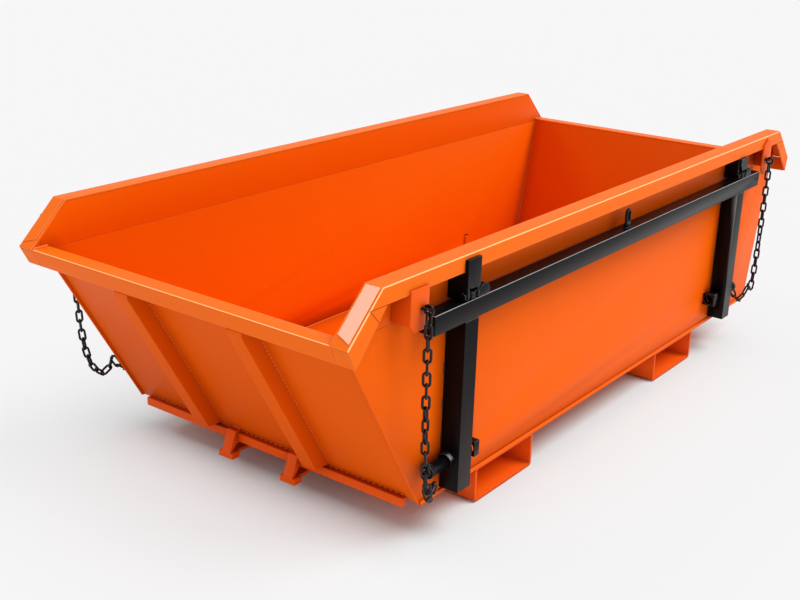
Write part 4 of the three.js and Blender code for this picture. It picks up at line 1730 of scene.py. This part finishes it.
@dataclass
class RimFittings:
    """Short hangers at the steep end, and the runs that hold brackets and hangers to the rim."""

    shell: Shell
    finishes: Finishes
    bracket_outer: float = 0.963
    far_left_outer: float = 1.023
    bracket_width: float = 0.062
    bracket_top: float = 0.640
    post_x: float = 0.741
    post_half: float = 0.025
    hanger_foot: float = 0.592
    hanger_top: float = 0.658
    hanger_front: float = 0.5084
    hanger_edge: float = 0.0008
    notch_width: float = 0.014
    notch_height: float = 0.018
    cheek: float = 0.008
    cheek_nose: float = 0.010
    nose_share: float = 0.98
    nose_steps: int = 4
    cheek_places: tuple[float, float] = (0.716, 0.7534)
    back_y: float = 0.4574
    pin_y: float = 0.500
    pin_z: float = 0.576
    gap: float = 0.0004
    weld_gap: float = 0.0006
    weld_end: float = 0.001
    bead: Bead = Bead()

    def build(self) -> None:
        """Builds the short hangers and the weld runs."""
        for side in Side:
            self._short_hanger(side)
        self._runs()

    def _short_hanger(self, side: Side) -> None:
        """Builds the steep end's hanger: a plate under the fascia and two cheeks that hold the pin.

        Args:
            side: The hanger's side.
        """
        made = bmesh.new()
        left = self.post_x - self.post_half
        right = self.post_x + self.post_half
        top = self.shell.top - self.shell.fascia - self.gap
        plate = [
            (left, top),
            (left, self.hanger_foot + self.notch_height),
            (left + self.notch_width, self.hanger_foot),
            (right, self.hanger_foot),
            (right, top),
        ]
        thick = self.hanger_front - self.shell.outer_y - self.gap
        outline = [Vector((x, side.sign * self.hanger_front, z)) for x, z in plate]
        prism(made, outline, Vector((0, -side.sign * thick, 0)))
        for x in self.cheek_places:
            outline = [Vector((x, side.sign * out, z)) for out, z in self._cheek(top)]
            prism(made, outline, Vector((self.cheek, 0, 0)))
        black = self.finishes.by_slot["frame_black"]
        hanger = piece(f"short_hanger_{side.word}", made, black, BODY)
        soften(hanger, self.hanger_edge)
        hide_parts(f"hinge_hanger_{side.word}_right")

    def _cheek(self, top: float) -> list[tuple[float, float]]:
        """Draws a cheek from the side, with a round nose under the pin.

        Args:
            top: The height of its upper edge.

        Returns:
            Distance from the skip's middle and height of each corner.
        """
        front = self.shell.outer_y
        outline = [(self.back_y, top), (front, top), (front, self.hanger_foot)]
        for step in range(self.nose_steps + 1):
            turn = math.pi / 2 * step / self.nose_steps
            out = self.pin_y + self.cheek_nose * math.cos(turn) * self.nose_share
            outline.append((min(out, front), self.pin_z - self.cheek_nose * math.sin(turn)))
        outline.append((self.back_y, self.pin_z - self.cheek_nose))
        return outline

    def _runs(self) -> None:
        """Runs beside the brackets and the tall hangers."""
        shell = self.shell
        orange = bmesh.new()
        black = bmesh.new()
        foot = shell.top - shell.fascia + self.weld_end
        for side in Side:
            y = side.sign * (shell.outer_y + self.weld_gap)
            for end in End:
                far_left = side is Side.FAR and end is End.LEFT
                outer = self.far_left_outer if far_left else self.bracket_outer
                for out in (outer + self.weld_gap, outer - self.bracket_width - self.weld_gap):
                    x = end.sign * out
                    high = Vector((x, y, self.bracket_top - self.weld_end))
                    self.bead.lay(orange, Vector((x, y, foot)), high)
            for edge in (-1, 1):
                x = -self.post_x + edge * (self.post_half + self.weld_gap)
                high = Vector((x, y, self.hanger_top - self.weld_end))
                self.bead.lay(black, Vector((x, y, foot)), high)
        piece("bracket_welds", orange, self.finishes.weld, BODY)
        piece("hanger_welds", black, self.finishes.weld_black, BODY)


@dataclass(frozen=True)
class Lamp:
    """A wide distant lamp: its direction from the skip, its strength and how wide it looks."""

    name: str
    direction: tuple[float, float, float]
    strength: float
    angle: float

    def build(self) -> None:
        """Adds the lamp to the scene."""
        data = bpy.data.lights.new(self.name, "SUN")
        data.energy = self.strength
        data.angle = self.angle
        lamp = bpy.data.objects.new(self.name, data)
        lamp.rotation_euler = Vector(self.direction).to_track_quat("Z", "Y").to_euler()
        bpy.context.scene.collection.objects.link(lamp)


@dataclass
class Studio:
    """Pale floor, soft lamps and the camera of the photograph."""

    floor_half: float = 30.0
    floor_drop: float = 0.0005
    floor_colour: tuple[int, int, int] = (243, 242, 243)
    floor_grain: tuple[int, int, int] = (240, 239, 240)
    floor_roughness: float = 0.85
    floor_specular: float = 0.1
    grain_scale: float = 40.0
    footprint: tuple[float, float] = (0.8, 0.43)
    backdrop_colour: tuple[int, int, int] = (245, 244, 245)
    backdrop_share: float = 0.86
    shadow_reach: float = 0.13
    # A painted cyan counter-tint near the skip, seen only by the camera, that cancels the orange
    # bounce light on the floor.
    bounce_cancel_reach: float = 0.8
    bounce_cancel_colour: tuple[float, float, float, float] = (0.84, 1.0, 1.0, 1.0)
    sky_colour: tuple[float, float, float, float] = (1.0, 1.0, 1.0, 1.0)
    sky_strength: float = 0.58
    lamps: tuple[Lamp, ...] = (
        Lamp("key", (0.3, -0.55, 1.0), 1.95, math.radians(34)),
        Lamp("fill", (-0.9, -0.15, 0.45), 0.12, math.radians(60)),
        Lamp("back", (-0.314, 0.588, 0.746), 0.42, math.radians(16)),
    )
    camera_place: tuple[float, float, float] = (-2.7406, -1.8006, 1.4049)
    yaw: float = math.radians(36.64)
    dip: float = math.radians(19.59)
    roll: float = math.radians(1.757)
    lens: float = 53.348
    sensor: float = 36.0
    far_clip: float = 200.0

    def build(self) -> None:
        """Builds the stage, the lamps and the camera."""
        self._floor()
        self._sky()
        for lamp in self.lamps:
            lamp.build()
        self._camera()
        bpy.context.scene.view_settings.view_transform = "Standard"
        LOG.info("studio built")

    def _floor(self) -> None:
        """A wide pale sheet under the skip."""
        made = bmesh.new()
        half = self.floor_half
        square = [(-half, -half), (half, -half), (half, half), (-half, half)]
        made.faces.new([made.verts.new((x, y, -self.floor_drop)) for x, y in square])
        data = bpy.data.meshes.new("studio_floor")
        made.to_mesh(data)
        made.free()
        data.materials.append(self._floor_material())
        floor = bpy.data.objects.new("studio_floor", data)
        bpy.context.scene.collection.objects.link(floor)

    def _floor_material(self) -> bpy.types.Material:
        """Makes a matt sheet that stays plain to the eye and takes the shadows close to the skip, with
        a painted cyan counter-tint that cancels the orange bounce light near the skip.

        Returns:
            The material.
        """
        material = bpy.data.materials.new("studio_floor")
        material.use_nodes = True
        tree = Tree(material.node_tree)
        shader = material.node_tree.nodes["Principled BSDF"]
        shader.inputs["Roughness"].default_value = self.floor_roughness
        shader.inputs["Specular IOR Level"].default_value = self.floor_specular
        seen = tree.node("ShaderNodeLightPath").outputs["Is Camera Ray"]
        grain = tree.noise(self.grain_scale, detail=4.0)
        plain = tree.mix(grain, linear(*self.floor_colour), linear(*self.floor_grain))
        # Painted counter-tint against the orange bounce light, strongest near the skip.
        near = tree.maths("MULTIPLY", self._nearness(tree, self.bounce_cancel_reach), seen)
        bounce_cancelled = tree.mix(near, plain, self.bounce_cancel_colour, blend="MULTIPLY")
        tree.join(bounce_cancelled, shader.inputs["Base Color"])
        glow = tree.node("ShaderNodeEmission", Color=linear(*self.backdrop_colour))
        far = tree.maths("SUBTRACT", 1.0, self._nearness(tree, self.shadow_reach))
        share = tree.maths("MULTIPLY", tree.maths("MULTIPLY", far, self.backdrop_share), seen)
        mixed = tree.node("ShaderNodeMixShader")
        tree.join(share, mixed.inputs[0])
        tree.join(shader.outputs[0], mixed.inputs[1])
        tree.join(glow.outputs[0], mixed.inputs[2])
        tree.join(mixed.outputs[0], material.node_tree.nodes["Material Output"].inputs["Surface"])
        return material

    def _nearness(self, tree: Tree, reach: float) -> bpy.types.NodeSocket:
        """Tells how near the floor is to the skip's footprint: one under it and fading outwards.

        Args:
            tree: The floor material's tree.
            reach: The distance over which it fades.

        Returns:
            The nearness.
        """
        parts = tree.parts(tree.place())
        gaps = []
        for axis, half in zip("XY", self.footprint):
            gap = tree.maths("SUBTRACT", tree.maths("ABSOLUTE", parts[axis]), half)
            gaps.append(tree.maths("POWER", tree.maths("MAXIMUM", gap, 0.0), 2.0))
        distance = tree.maths("SQRT", tree.maths("ADD", *gaps))
        return tree.maths("POWER", math.e, tree.maths("MULTIPLY", distance, -1.0 / reach))

    def _sky(self) -> None:
        """An even pale sky that lights everything softly and is seen as the backdrop."""
        world = bpy.data.worlds.new("studio_sky")
        bpy.context.scene.world = world
        world.use_nodes = True
        tree = Tree(world.node_tree)
        sky = world.node_tree.nodes["Background"]
        sky.inputs["Color"].default_value = self.sky_colour
        sky.inputs["Strength"].default_value = self.sky_strength
        backdrop = tree.node("ShaderNodeBackground", Color=linear(*self.backdrop_colour))
        rays = tree.node("ShaderNodeLightPath").outputs
        sharp = tree.maths("MAXIMUM", rays["Is Glossy Ray"], rays["Is Transmission Ray"])
        mixed = tree.node("ShaderNodeMixShader")
        tree.join(tree.maths("MAXIMUM", rays["Is Camera Ray"], sharp), mixed.inputs[0])
        tree.join(sky.outputs[0], mixed.inputs[1])
        tree.join(backdrop.outputs[0], mixed.inputs[2])
        tree.join(mixed.outputs[0], world.node_tree.nodes["World Output"].inputs["Surface"])

    def _camera(self) -> None:
        """Places the camera that was fitted to the photograph."""
        level = math.cos(self.dip)
        ahead = Vector((math.cos(self.yaw) * level, math.sin(self.yaw) * level, -math.sin(self.dip)))
        right = Vector((math.sin(self.yaw), -math.cos(self.yaw), 0.0))
        up = right.cross(ahead)
        cosine = math.cos(self.roll)
        sine = math.sin(self.roll)
        rolled_right = right * cosine + up * sine
        rolled_up = up * cosine - right * sine
        turn = Matrix((rolled_right, rolled_up, -ahead)).transposed().to_4x4()
        data = bpy.data.cameras.new("camera")
        data.lens = self.lens
        data.sensor_width = self.sensor
        data.clip_end = self.far_clip
        camera = bpy.data.objects.new("camera", data)
        camera.matrix_world = Matrix.Translation(self.camera_place) @ turn
        bpy.context.scene.collection.objects.link(camera)
        bpy.context.scene.camera = camera


def main() -> None:
    """Builds the whole scene in order."""
    logging.basicConfig(level=logging.INFO, format="%(name)s: %(message)s")
    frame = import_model()
    Studio().build()
    finishes = Finishes(Effects())
    shell = Shell()
    CadDressing(frame, finishes).dress()
    rims = Rims(shell, finishes)
    rims.build()
    Ribs(shell, rims, finishes).build()
    ShellWelds(shell, finishes).build()
    RimFittings(shell, finishes).build()
    for side in Side:
        FlapDetails(side, shell, finishes).build()
        for end in End:
            SafetyChain(side, end, finishes).build()
    bpy.context.view_layer.update()
    LOG.info("scene complete")


if __name__ == "__main__":
    main()
